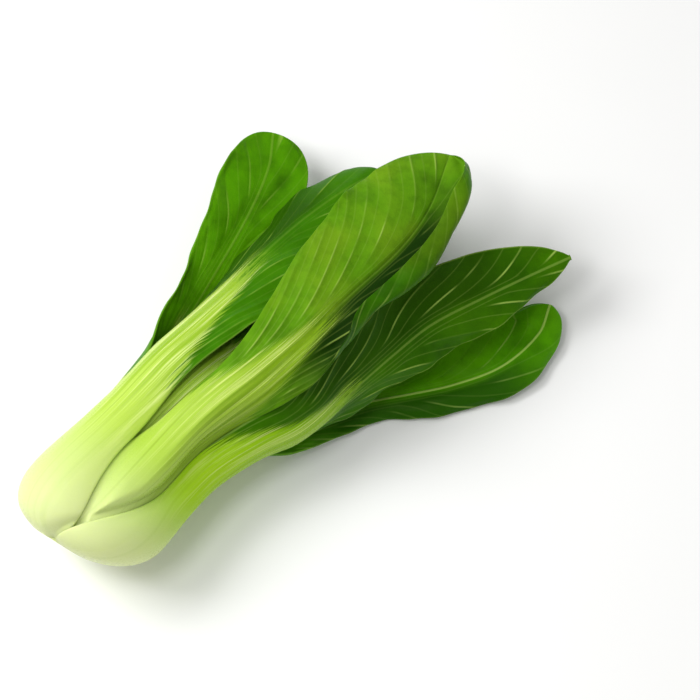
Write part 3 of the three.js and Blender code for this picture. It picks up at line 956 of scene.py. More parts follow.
@dataclass(frozen=True)
class LeafPattern:
    """How a leaf's flesh and skin are patterned.

    Lengths are in millimetres. A pair says where something starts and where it is complete, unless
    its comment says otherwise; for a noise, that is two of the values between 0 and 1 that it takes.
    """

    cloud: float = 30.0  # size of the broad patches
    mottle: float = 5.0  # ... and of the small ones
    grain: float = 0.6  # the skin's cells, drawn some ten times their size, so that they show
    gaps: float = 22.0  # length of the stretches where a side vein is lost
    fibre: float = 2.6  # how many fibres go to a side vein
    strand: float = 0.9  # ... and bundles of them
    ray: float = 7.0  # ... and rays of pale flesh
    drift: float = 0.006  # how much these three change for each millimetre along the leaf
    halves_apart: float = 37.0  # keeps the pattern of one half from that of the other
    side_vein: tuple[float, float] = (0.55, 0.1)  # distances from its middle
    side_vein_fades: tuple[float, float] = (0.3, 0.9)  # shares of the blade's half width
    side_vein_left: float = 0.15  # what is left of it there
    unbroken: tuple[float, float] = (0.38, 0.6)  # in the noise of the gaps
    gap_shows: float = 0.1  # what a gap leaves of a side vein
    net_vein: tuple[float, float] = (0.4, 0.1)  # a finer vein, halfway between two side veins
    net_strength: float = 0.16
    midrib: tuple[float, float] = (0.75, 0.25)  # distances from its middle
    lines: tuple[float, float] = (0.6, 0.75)  # how plain they are on the inner and outer face
    foot: tuple[float, float] = (5.0, 52.0)  # from the cut, where the blanched foot turns green
    shoulder: tuple[float, float] = (0.6, 1.25)  # and the stalk's top, as shares of its length
    fibrous: tuple[float, float] = (20.0, 90.0)  # from the cut, where its fibres come out
    fibres_at_foot: float = 0.1
    streaks: tuple[float, float] = (0.48, 0.66)  # in the noises of the fibres and of the bundles
    streak: float = 0.85  # how plain the streaks are...
    furrow: float = 0.75  # ... and the furrows between them
    left_flank: tuple[float, float] = (3.0, 13.0)  # signed distances from the midrib, over which a margin turns greener and takes painted shade
    right_flank: tuple[float, float] = (2.0, -12.0)
    lighter: tuple[float, float] = (0.4, 0.7)  # broad light patches
    lighten: float = 0.4
    deeper: tuple[float, float] = (0.4, 0.75)  # small deep ones
    deepen: float = 0.2
    hollow_shade: tuple[float, float] = (0.46, 0.3)  # broad patches of painted shade, as in the blade's undulations
    hollow_shade_strength: float = 0.5
    left_shade_over: tuple[float, float] = (-1.0, 4.0)  # signed distances from the midrib, over which the painted shade of the left half comes on
    right_shade_over: tuple[float, float] = (3.0, -3.0)
    shade_starts: tuple[float, float] = (-12.0, 36.0)  # from where the blade begins
    shade_ends: tuple[float, float] = (-42.0, -10.0)  # from the leaf's tip
    rays: tuple[float, float] = (0.3, 0.7)
    ray_reach: float = 2.6  # how strongly the rays draw out the edge of the pale flesh
    edge: tuple[float, float] = (0.1, 0.9)  # of the green, as the mesh notes it
    cut: tuple[float, float] = (0.0, 0.05)  # of the cut, as the mesh notes it
    hem: tuple[float, float] = (0.8, 0.1)  # distances from the margin
    rough_noise: tuple[float, float] = (0.3, 0.7)
    rough_varies: float = 0.07  # how much rougher or smoother the skin is here and there
    vein_height: float = 0.2  # relief that is too fine for the mesh: veins...
    cord_height: float = 0.18  # ... the stalk's cords...
    bump_height: float = 0.16  # ... small bumps...
    grain_height: float = 0.03  # ... and the skin's grain
    watery: tuple[float, float] = (0.3, 0.06)  # how much light goes in, in the stalk and the blade
    light_goes: float = 3.0  # how far it gets
    light_mix: tuple[float, float, float] = (1.0, 1.0, 0.35)  # blue gets less far
    ior: float = 1.43  # of plant wax and the flesh right under it


@dataclass(frozen=True)
class LeafPaint:
    """Writes the material of one leaf.

    Its methods take node, which adds a node to the material, and at, which holds what is known of
    each place on the leaf.
    """

    leaf: Leaf
    pattern: LeafPattern = LeafPattern()

    def build(self) -> bpy.types.Material:
        """Fresh bok choy leaf: watery flesh under a waxy skin.

        The stalk is pale, with fine fibres along it that fan out into the blade. The blade is green,
        and its outer face is duller than its inner one. Side veins stand out on the outer face.

        Returns:
            The material.
        """
        look, form = self.leaf.finish, self.pattern
        material, tree = new_material("fresh_" + self.leaf.node)
        node = partial(add, tree)
        at = self.places(node)
        at["lines"] = self.lines(node, at)
        at["share"] = self.share(node, at)
        colour = self.colour(node, at)
        watery = node("MapRange", {0: at["share"], 3: form.watery[0], 4: form.watery[1]})
        shader = node("BsdfPrincipled", {
            "Base Color": colour, "Roughness": self.roughness(node, at), "Normal": self.relief(node, at),
            "IOR": form.ior, "Specular IOR Level": look.shine, "Specular Tint": look.sheen,
            "Subsurface Weight": watery, "Subsurface Radius": form.light_mix,
            "Subsurface Scale": form.light_goes * MM,
        })
        node("OutputMaterial", {"Surface": shader})
        return material

    def places(self, node: Adder) -> Sockets:
        """Reads what the mesh notes of each place, and lays the patterns over it.

        Args:
            node: Adds a node to the material.

        Returns:
            What is known of each place, by name.
        """
        form = self.pattern
        at = {label: node("Attribute", out="Fac", attribute_name=label) for label in NOTES}
        at["facing"] = node("MapRange", {0: at["facing"], 1: -0.5, 2: 0.5})
        at["away"] = node("Math", {0: at["across"]}, operation="ABSOLUTE")
        at["higher"] = node("MapRange", {
            0: at["along"], 1: form.fibrous[0], 2: form.fibrous[1], 3: form.fibres_at_foot, 4: 1.0,
        }, **SMOOTH)
        flat = node("CombineXYZ", {0: at["across"], 1: at["along"], 2: self.leaf.phase * 10})
        # the fan: coordinates that run along the fibres and the side veins, with the halves apart
        half = node("Math", {0: at["across"]}, operation="SIGN")
        half = node("Math", {0: half, 1: form.halves_apart}, operation="MULTIPLY")
        far = node("Math", {0: at["along"], 1: form.drift}, operation="MULTIPLY")
        fan = node("CombineXYZ", {0: at["vein"], 1: half, 2: far})
        noises = {
            "fibre": (fan, form.fibre, 4.0, 0.65),
            "strand": (fan, form.strand, 1.0, 0.5),
            "ray": (fan, form.ray, 4.0, 0.7),
            "cloud": (flat, 1 / form.cloud, 3.0, 0.5),
            "mottle": (flat, 1 / form.mottle, 4.0, 0.6),
            "grain": (flat, 1 / form.grain, 3.0, 0.5),
            "broken": (flat, 1 / form.gaps, 2.0, 0.5),
        }
        for label, (vector, scale, detail, rough) in noises.items():
            at[label] = node("TexNoise", {
                "Vector": vector, "Scale": scale, "Detail": detail, "Roughness": rough,
            }, out="Fac")
        return at

    def lines(self, node: Adder, at: Sockets) -> Socket:
        """The midrib, the side veins and the finer ones between them, from 0 to 1.

        Args:
            node: Adds a node to the material.
            at: What is known of each place.

        Returns:
            How plain a vein is at each.
        """
        look, form = self.leaf.finish, self.pattern
        number = node("Math", {0: at["vein"]}, operation="ROUND")
        off = node("Math", {0: at["vein"], 1: number}, operation="SUBTRACT")
        off = node("Math", {0: off}, operation="ABSOLUTE")
        distance = node("Math", {0: off, 1: at["spread"]}, operation="MULTIPLY")
        wide = max(self.leaf.half)
        fades, fine = form.side_vein_fades, form.net_vein
        outwards = node("MapRange", {
            0: at["away"], 1: fades[0] * wide, 2: fades[1] * wide, 3: 1.0, 4: form.side_vein_left,
        }, **SMOOTH)
        outwards = node("Math", {0: outwards, 1: at["branched"]}, operation="MULTIPLY")
        near = node("MapRange", {0: distance, 1: form.side_vein[0], 2: form.side_vein[1]}, **SMOOTH)
        whole = node("MapRange", {
            0: at["broken"], 1: form.unbroken[0], 2: form.unbroken[1], 3: form.gap_shows, 4: 1.0,
        }, **SMOOTH)
        side = node("Math", {0: near, 1: outwards}, operation="MULTIPLY")
        side = node("Math", {0: side, 1: whole}, operation="MULTIPLY")
        side = node("Math", {0: side, 1: look.veins}, operation="MULTIPLY")
        between = node("Math", {0: 0.5, 1: off}, operation="SUBTRACT")
        between = node("Math", {0: between, 1: at["spread"]}, operation="MULTIPLY")
        between = node("MapRange", {
            0: between, 1: fine[0], 2: fine[1], 3: 0.0, 4: form.net_strength * look.veins,
        }, **SMOOTH)
        midrib = node("MapRange", {
            0: at["away"], 1: form.midrib[0], 2: form.midrib[1], 3: 0.0, 4: look.midrib,
        }, **SMOOTH)
        lines = node("Math", {0: side, 1: between}, operation="MAXIMUM")
        return node("Math", {0: lines, 1: midrib}, operation="MAXIMUM")

    def share(self, node: Adder, at: Sockets) -> Socket:
        """Where the leaf is green: pale flesh runs out into the green in rays.

        Args:
            node: Adds a node to the material.
            at: What is known of each place.

        Returns:
            0 in the stalk's pale flesh and 1 in the blade's tissue.
        """
        form = self.pattern
        ray = node("MapRange", {
            0: at["ray"], 1: form.rays[0], 2: form.rays[1], 3: form.ray_reach, 4: -form.ray_reach,
        })
        pale = node("Math", {0: 1.0, 1: at["green"]}, operation="SUBTRACT")
        edges = node("Math", {0: at["green"], 1: pale}, operation="MULTIPLY")
        share = node("Math", {0: ray, 1: edges, 2: at["green"]}, operation="MULTIPLY_ADD")
        return node("MapRange", {0: share, 1: form.edge[0], 2: form.edge[1]}, **SMOOTH)

    def flesh(self, node: Adder, at: Sockets) -> Socket:
        """The stalk's flesh, with light streaks along its fibres, greener furrows between, and greener
        margins that partly carry painted shade.

        Args:
            node: Adds a node to the material.
            at: What is known of each place.

        Returns:
            Its colour.
        """
        look, form, along = self.leaf.finish, self.pattern, at["along"]
        foot, top = form.foot, [share * self.leaf.blade for share in form.shoulder]
        height = node("MapRange", {0: along, 1: foot[0], 2: foot[1]}, **SMOOTH)
        flesh = node("Mix", {0: height, 6: look.foot, 7: look.stalk}, out=2, **COLOUR)
        height = node("MapRange", {0: along, 1: top[0], 2: top[1]}, **SMOOTH)
        flesh = node("Mix", {0: height, 6: flesh, 7: look.shoulder}, out=2, **COLOUR)
        for noise, strength, colour in (
            ("fibre", form.streak, look.streak), ("strand", form.furrow, look.furrow),
        ):
            line = node("MapRange", {
                0: at[noise], 1: form.streaks[0], 2: form.streaks[1], 3: 0.0, 4: strength,
            }, **SMOOTH)
            line = node("Math", {0: line, 1: at["higher"]}, operation="MULTIPLY")
            flesh = node("Mix", {0: line, 6: flesh, 7: colour}, out=2, **COLOUR)
        # greener margins, partly the stalk's own edge and partly painted shade on its flanks
        left, right = (
            node("MapRange", {0: at["across"], 1: over[0], 2: over[1], 3: 0.0, 4: strength}, **SMOOTH)
            for over, strength in zip((form.left_flank, form.right_flank), look.flank_green_and_shade)
        )
        flank_green_and_shade = node("Math", {0: left, 1: right}, operation="ADD")
        flank_green_and_shade = node("Math", {0: flank_green_and_shade, 1: at["higher"]}, operation="MULTIPLY")
        return node("Mix", {0: flank_green_and_shade, 6: flesh, 7: look.furrow}, out=2, **COLOUR)

    def tissue(self, node: Adder, at: Sockets) -> Socket:
        """The blade's tissue, with lighter and deeper patches, painted shade in broad patches and over a
        shaded half, and its veins.

        Args:
            node: Adds a node to the material.
            at: What is known of each place.

        Returns:
            Its colour.
        """
        look, form = self.leaf.finish, self.pattern
        tissue = node("Mix", {0: at["facing"], 6: look.inner, 7: look.outer}, out=2, **COLOUR)
        for noise, over, strength, colour in (
            ("cloud", form.lighter, form.lighten, look.light),
            ("mottle", form.deeper, form.deepen, look.deep_and_shade),
            # broad patches of painted shade
            ("cloud", form.hollow_shade, form.hollow_shade_strength, look.deep_and_shade),
        ):
            patch = node("MapRange", {
                0: at[noise], 1: over[0], 2: over[1], 3: 0.0, 4: strength,
            }, **SMOOTH)
            tissue = node("Mix", {0: patch, 6: tissue, 7: colour}, out=2, **COLOUR)
        # painted shade over a half of a face that lies in shadow
        tissue = node("Mix", {0: self.painted_half_shade(node, at), 6: tissue, 7: look.deep_and_shade}, out=2, **COLOUR)
        shown = node("MapRange", {0: at["facing"], 3: form.lines[0], 4: form.lines[1]})
        shown = node("Math", {0: shown, 1: at["lines"]}, operation="MULTIPLY")
        return node("Mix", {0: shown, 6: tissue, 7: look.vein}, out=2, **COLOUR)

    def painted_half_shade(self, node: Adder, at: Sockets) -> Socket:
        """How much painted shade darkens a half of a face all over, standing for the shadow on that half.

        Args:
            node: Adds a node to the material.
            at: What is known of each place.

        Returns:
            That share, which fades out towards the stalk and the tip.
        """
        look, form = self.leaf.finish, self.pattern
        halves = []
        for over, inner, outer in zip((form.left_shade_over, form.right_shade_over), look.inner_half_shade, look.outer_half_shade):
            deep_and_shade = node("MapRange", {0: at["facing"], 3: inner, 4: outer})
            halves.append(node("MapRange", {
                0: at["across"], 1: over[0], 2: over[1], 3: 0.0, 4: deep_and_shade,
            }, **SMOOTH))
        shade_share = node("Math", {0: halves[0], 1: halves[1]}, operation="ADD")
        begins, ends = self.leaf.blade, self.leaf.end
        ending = node("MapRange", {
            0: at["along"], 1: ends + form.shade_ends[0], 2: ends + form.shade_ends[1], 3: 1.0, 4: 0.0,
        }, **SMOOTH)
        shade_share = node("Math", {0: shade_share, 1: ending}, operation="MULTIPLY")
        starting = node("MapRange", {
            0: at["along"], 1: begins + form.shade_starts[0], 2: begins + form.shade_starts[1],
        }, **SMOOTH)
        return node("Math", {0: shade_share, 1: starting}, operation="MULTIPLY")

    def colour(self, node: Adder, at: Sockets) -> Socket:
        """Flesh and tissue together, with a pale line at the margin and a dry cut.

        Args:
            node: Adds a node to the material.
            at: What is known of each place.

        Returns:
            The leaf's colour.
        """
        look, form = self.leaf.finish, self.pattern
        flesh, tissue = self.flesh(node, at), self.tissue(node, at)
        colour = node("Mix", {0: at["share"], 6: flesh, 7: tissue}, out=2, **COLOUR)
        margin = node("MapRange", {
            0: at["rim"], 1: form.hem[0], 2: form.hem[1], 3: 0.0, 4: look.hem,
        }, **SMOOTH)
        margin = node("Math", {0: margin, 1: at["share"]}, operation="MULTIPLY")
        colour = node("Mix", {0: margin, 6: colour, 7: look.vein}, out=2, **COLOUR)
        cut = node("MapRange", {0: at["cut"], 1: form.cut[0], 2: form.cut[1]})
        return node("Mix", {0: cut, 6: colour, 7: look.dry}, out=2, **COLOUR)

    def roughness(self, node: Adder, at: Sockets) -> Socket:
        """The waxy skin's roughness, which is never quite even.

        Args:
            node: Adds a node to the material.
            at: What is known of each place.

        Returns:
            The roughness.
        """
        look, form = self.leaf.finish, self.pattern
        varies = form.rough_varies
        rough = node("MapRange", {0: at["facing"], 3: look.inner_rough, 4: look.outer_rough})
        rough = node("Mix", {0: at["share"], 2: look.stalk_rough, 3: rough})
        speck = node("MapRange", {
            0: at["grain"], 1: form.rough_noise[0], 2: form.rough_noise[1], 3: -varies, 4: varies,
        })
        return node("Math", {0: rough, 1: speck}, operation="ADD")

    def relief(self, node: Adder, at: Sockets) -> Socket:
        """Relief that is too fine for the mesh.

        Args:
            node: Adds a node to the material.
            at: What is known of each place.

        Returns:
            The normal.
        """
        form = self.pattern
        stands = node("Math", {0: at["lines"], 1: at["share"]}, operation="MULTIPLY")
        cords = node("Math", {0: at["fibre"], 1: at["higher"]}, operation="MULTIPLY")
        normal = node("Bump", {"Height": stands, "Distance": form.vein_height * MM})
        for height, distance in (
            (cords, form.cord_height), (at["mottle"], form.bump_height), (at["grain"], form.grain_height),
        ):
            normal = node("Bump", {"Height": height, "Distance": distance * MM, "Normal": normal})
        return normal


@dataclass(frozen=True)
class StemFinish:
    """The stem's cut end: moist white pith in a ring of fibre bundles, drying brown at the rim.

    Colours are sRGB and lengths in millimetres. A pair says where something starts and where it is
    complete.
    """

    pith: tuple[str, str] = ("#eff0cf", "#dfe4ad")  # both colours of its cloudy flesh
    ring: str = "#c3cf80"  # the flesh between the bundles...
    ring_strength: float = 0.5
    bundle: str = "#9aa84e"  # ... and the bundles
    bundle_strength: float = 0.7
    dry: str = "#b59c5e"
    dry_strength: float = 0.6
    cloud_size: float = 5.0
    bundles_apart: float = 1.5
    grain_size: float = 0.7  # cut cells, drawn several times their size, so that they show
    bundle_edge: tuple[float, float] = (0.42, 0.2)  # distances from its middle, as shares of that
    ring_outside: tuple[float, float] = (8.6, 7.8)  # radii
    ring_inside: tuple[float, float] = (5.6, 6.6)
    dry_from: tuple[float, float] = (9.2, 11.2)  # radii, before its edge strays
    dry_wanders: float = 2.0  # how far the edge of the dry flesh strays
    grain_height: float = 0.6  # against the bundles' 1
    height: float = 0.18  # of the bundles' relief
    rough: tuple[float, float] = (0.38, 0.55)  # moist and dry patches
    rough_noise: tuple[float, float] = (0.3, 0.7)
    watery: float = 0.25  # how much light goes in
    light_goes: float = 3.0  # and how far it gets
    light_mix: tuple[float, float, float] = (1.0, 0.9, 0.4)  # blue gets less far

    def build(self) -> bpy.types.Material:
        """Writes the material.

        Returns:
            The cut stem's tissue.
        """
        material, tree = new_material("cut_stem_tissue")
        node = partial(add, tree)
        place = node("TexCoord", out="Object")
        centred = node("Mapping", {"Vector": place, "Location": (-CUT_X * MM, 0, -AXIS_Z * MM)})
        sideways = node("VectorMath", {0: centred, 1: (0, 1 / MM, 1 / MM)}, operation="MULTIPLY")
        distance = node("VectorMath", {0: sideways}, out="Value", operation="LENGTH")
        cells = node("TexVoronoi", {
            "Vector": place, "Scale": 1 / (self.bundles_apart * MM),
        }, out="Distance")
        grain, cloud = (
            node("TexNoise", {"Vector": place, "Scale": 1 / (size * MM), "Detail": 3.0}, out="Fac")
            for size in (self.grain_size, self.cloud_size)
        )
        dots = node("MapRange", {0: cells, 1: self.bundle_edge[0], 2: self.bundle_edge[1]}, **SMOOTH)
        inside, outside = (
            node("MapRange", {0: distance, 1: over[0], 2: over[1]}, **SMOOTH)
            for over in (self.ring_outside, self.ring_inside)
        )
        ring = node("Math", {0: outside, 1: inside}, operation="MULTIPLY")
        bundles = node("Math", {0: dots, 1: ring}, operation="MULTIPLY")
        colour = node("Mix", {0: cloud, 6: self.pith[0], 7: self.pith[1]}, out=2, **COLOUR)
        shade = node("Math", {0: ring, 1: self.ring_strength}, operation="MULTIPLY")
        colour = node("Mix", {0: shade, 6: colour, 7: self.ring}, out=2, **COLOUR)
        shade = node("Math", {0: bundles, 1: self.bundle_strength}, operation="MULTIPLY")
        colour = node("Mix", {0: shade, 6: colour, 7: self.bundle}, out=2, **COLOUR)
        dried = node("Math", {0: cloud, 1: self.dry_wanders, 2: distance}, operation="MULTIPLY_ADD")
        dried = node("MapRange", {
            0: dried, 1: self.dry_from[0], 2: self.dry_from[1], 3: 0.0, 4: self.dry_strength,
        }, **SMOOTH)
        colour = node("Mix", {0: dried, 6: colour, 7: self.dry}, out=2, **COLOUR)
        height = node("Math", {0: grain, 1: self.grain_height, 2: bundles}, operation="MULTIPLY_ADD")
        normal = node("Bump", {"Height": height, "Distance": self.height * MM})
        rough = node("MapRange", {
            0: grain, 1: self.rough_noise[0], 2: self.rough_noise[1], 3: self.rough[0], 4: self.rough[1],
        })
        shader = node("BsdfPrincipled", {
            "Base Color": colour, "Roughness": rough, "Normal": normal,
            "Subsurface Weight": self.watery, "Subsurface Radius": self.light_mix,
            "Subsurface Scale": self.light_goes * MM,
        })
        node("OutputMaterial", {"Surface": shader})
        return material


@dataclass(frozen=True)
class TableFinish:
    """White matt laminate: plain, with a roughness that is never quite even."""

    white: tuple[str, str] = ("#f8f8f7", "#fbfbfb")  # sRGB
    cloud_size: float = 125.0  # millimetres
    rough: tuple[float, float] = (0.55, 0.65)
    rough_noise: tuple[float, float] = (0.3, 0.7)
    shine: float = 0.2  # how strongly it reflects, 0.5 being the usual

    def build(self) -> bpy.types.Material:
        """Writes the material.

        Returns:
            The laminate.
        """
        material, tree = new_material("white_matt_table")
        node = partial(add, tree)
        place = node("TexCoord", out="Object")
        cloud = node("TexNoise", {
            "Vector": place, "Scale": 1 / (self.cloud_size * MM), "Detail": 3.0,
        }, out="Fac")
        colour = node("Mix", {0: cloud, 6: self.white[0], 7: self.white[1]}, out=2, **COLOUR)
        rough = node("MapRange", {
            0: cloud, 1: self.rough_noise[0], 2: self.rough_noise[1], 3: self.rough[0], 4: self.rough[1],
        })
        shader = node("BsdfPrincipled", {
            "Base Color": colour, "Roughness": rough, "Specular IOR Level": self.shine,
        })
        node("OutputMaterial", {"Surface": shader})
        return material


# ---- the leaves, oldest first ---------------------------------------------------------------------

LEAVES = [
    Leaf(
        "leaf_outer_right", "leaf_outer", angle=-86, crown=(-0.6, -0.6), foot=(80, 80),
        narrows=(-4, 44), stalk=16.4, waist=1.1, blade=98, half=(22, 16), turn=(40, 26),
        curl=(-40, 0), outline=(0.6, 1.7, 0.72), phase=0.4,
        path=(
            (29, -33, 32, -86), (50, -36, 33.5, -86), (74, -42.5, 33, -80), (96, -46, 34.5, -62),
            (117, -48.5, 36, -44), (137, -51.5, 37, -34), (160, -59, 36, -30), (182, -67, 35, -28),
            (201, -74, 33, -28),
        ),
        pale=(74, 125), taper=0.9,
        finish=LeafFinish(
            stalk="#a0cc20", streak="#cbdc78", shoulder="#79ae0c", outer="#2f6200", inner="#387000",
            light="#4a8200", deep_and_shade="#163600", vein="#a6c65a", veins=1.0, midrib=0.35,
            outer_half_shade=(0.5, 0.0), hem=0.35, shine=0.13,
        ),
    ),
    Leaf(
        "leaf_outer_left", "leaf_outer", angle=38, flesh=8, foot=(55, 60), narrows=(-4, 44),
        stalk=20, waist=0.74, blade=88, half=(21, 33), turn=(62, 30), outline=(0.55, 5, 0.5),
        phase=2.1,
        path=(
            (35, 17.5, 54.5, 38), (58, 17.5, 53, 36), (85, 18.5, 50, 31), (109, 19.5, 46, 23),
            (134, 19, 42, 16), (159, 16, 38, 10), (177, 12, 34, 6),
        ),
        pale=(80, 136), taper=0.8,
        finish=LeafFinish(
            streak="#edf8a4", outer="#377500", inner="#265000", light="#4c8c00", deep_and_shade="#234c00",
            veins=0.45, midrib=0.12, hem=0.3, outer_half_shade=(0.8, 0.0), flank_green_and_shade=(0.6, 0.1), shine=0.17,
        ),
    ),
    Leaf(
        "leaf_outer_under", "leaf_outer", angle=172, sag=3.6, foot=(40, 50), stalk=14.5,
        blade=96, half=(33, 33), turn=(16, 20), phase=3.3, detail=Detail.TUCKED,
        path=(
            (35, 5, 3.3, 171), (58, 8, 3.3, 172), (87, 10, 2.4, 175), (117, 13, 1, 178),
            (144, 12, 1, 180), (168, 9, 5, 180),
        ),
    ),
    Leaf(
        "leaf_top", "leaf_outer", angle=-32, start=4, stalk=16.4, waist=0.82, crown=(2, 0),
        foot=(44, 52), blade=98, half=(34, 27), turn=(12, -8), curl=(0, -172), roll=(0.45, 0.85),
        outline=(0.55, 3.8, 0.55), phase=1.2,
        path=(
            (23, -15.5, 57, -31), (45, -18, 58, -29), (69, -21, 59.5, -25), (87, -23, 61, -19),
            (115, -24, 61, -12), (148, -25, 58, -6), (171, -21, 55, -2), (196, -10, 51, 0),
        ),
        pale=(88, 134), taper=1.15, fold=26,
        finish=LeafFinish(
            stalk="#afd04c", streak="#cfe07e", shoulder="#8bb026", furrow="#6f9410", outer="#588f0c",
            inner="#3e7e00", light="#84a41e", deep_and_shade="#0c2e00", vein="#b2d060", midrib=0.1,
            outer_half_shade=(0.0, 1.0), inner_half_shade=(0.0, 0.45), hem=0.0, flank_green_and_shade=(0.1, 0.8), shine=0.21,
            outer_rough=0.62,
        ),
    ),
    Leaf(
        "leaf_back_left", "leaf_outer", angle=106, start=1, flesh=7, stalk=15, crown=(3, 0),
        foot=(44, 52), blade=90, half=(19, 19), turn=(14, 10), outline=(0.7, 5, 0.5), phase=5.0,
        pale=(56, 100),
        path=(
            (35, 28, 24.5, 107), (54, 28, 24.5, 116), (74, 30, 25.5, 132), (103, 36, 27, 152),
            (129, 43, 27, 160), (149, 51, 26, 162), (163, 61, 24, 162),
        ),
    ),
    Leaf(
        "leaf_back_right", "leaf_outer", angle=-143, start=6, flesh=7, stalk=12.3, crown=(3, 0),
        foot=(44, 52), blade=102, half=(13, 24), turn=(-60, 10), phase=0.9, pale=(60, 112),
        path=(
            (35, -20, 10, -142), (54, -26, 8.5, -147), (84, -37, 6, -152), (103, -47, 5, -158),
            (118, -58, 5, -162), (133, -69, 6, -164), (153, -79, 7, -164), (174, -81, 8, -164),
            (187, -76, 9, -164),
        ),
        finish=LeafFinish(
            inner="#4e9600", light="#5ea206", deep_and_shade="#1c4e00", vein="#bada6c", veins=0.5, midrib=1.0,
            inner_half_shade=(0.95, 0.0),
        ),
    ),
    Leaf(
        "leaf_inner_top", "leaf_inner", angle=8, start=16, flesh=5.5, stalk=11.5, crown=(9.5, 9.5),
        foot=(44, 52), blade=92, half=(18, 18), turn=(30, 30), outline=(0.7, 5, 0.5), phase=2.7,
        path=(
            (35, 3, 53, 8), (58, 2, 50, 8), (82, 1, 45, 8), (108, 0, 41, 4),
            (132, -2, 38, 2), (150, -3, 35, 2),
        ),
        finish=LeafFinish(stalk="#b4d650", shoulder="#86b626"),
    ),
    Leaf(
        "leaf_inner_left", "leaf_inner", angle=135, start=16, flesh=5.5, stalk=11.5, crown=(9, 9),
        foot=(44, 52), blade=90, half=(20, 19), turn=(24, 24), outline=(0.7, 5, 0.5), phase=4.1,
        detail=Detail.TUCKED,
        path=(
            (35, 15, 18, 136), (58, 14, 15, 142), (82, 10, 11, 156), (112, 13, 10, 170),
            (142, 13, 12, 176), (158, 12, 15, 178),
        ),
    ),
    Leaf(
        "leaf_inner_right", "leaf_inner", angle=-114, start=16, flesh=5.5, stalk=11.5, crown=(9, 9),
        foot=(44, 52), blade=86, half=(15, 17), turn=(20, 20), outline=(0.7, 5, 0.5), phase=1.8,
        detail=Detail.TUCKED,
        path=(
            (35, -19, 24, -114), (58, -21, 26, -112), (82, -26, 31, -100), (112, -33, 31, -90),
            (140, -38, 30, -84), (156, -41, 29, -80),
        ),
    ),
    Leaf(
        "leaf_heart_left", "leaf_heart", angle=65, start=24, flesh=5, stalk=9.5, crown=(15.5, 17),
        foot=(44, 54), blade=80, half=(12, 12), turn=(34, 34), outline=(0.7, 5, 0.5), phase=0.2,
        detail=Detail.TUCKED,
        path=((35, 9, 36, 65), (58, 8, 34, 70), (82, 9, 30, 84), (106, 9, 27, 100), (126, 8, 26, 110)),
        finish=LeafFinish(outer="#86b032", inner="#6fa324"),
    ),
    Leaf(
        "leaf_heart_right", "leaf_heart", angle=-45, start=24, flesh=4.5, stalk=8.5, crown=(16, 18),
        foot=(44, 54), blade=74, half=(10, 10), turn=(34, 34), outline=(0.7, 5, 0.5), phase=5.5,
        detail=Detail.TUCKED,
        path=(
            (35, -6, 36, -45), (56, -6, 34, -45), (78, -8, 31, -40), (96, -9, 30, -36),
            (110, -9, 30, -34),
        ),
        finish=LeafFinish(outer="#86b032", inner="#6fa324"),
    ),
]


# ---- the sub-assemblies ---------------------------------------------------------------------------


@dataclass
class Foliage:
    """The leaves of the head."""

    leaves: list[Leaf]

    def build(self) -> None:
        """Makes every leaf, dresses it and sets it in its node's place."""
        for leaf in self.leaves:
            skin = LeafShape(leaf, self.leaves).skin()
            piece = rolled_sheet("grown_" + leaf.node, skin)
            piece.data.materials.append(LeafPaint(leaf).build())
            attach(piece, "root")
            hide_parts(leaf.node)
            LOG.info("%s: %d faces", piece.name, len(piece.data.polygons))


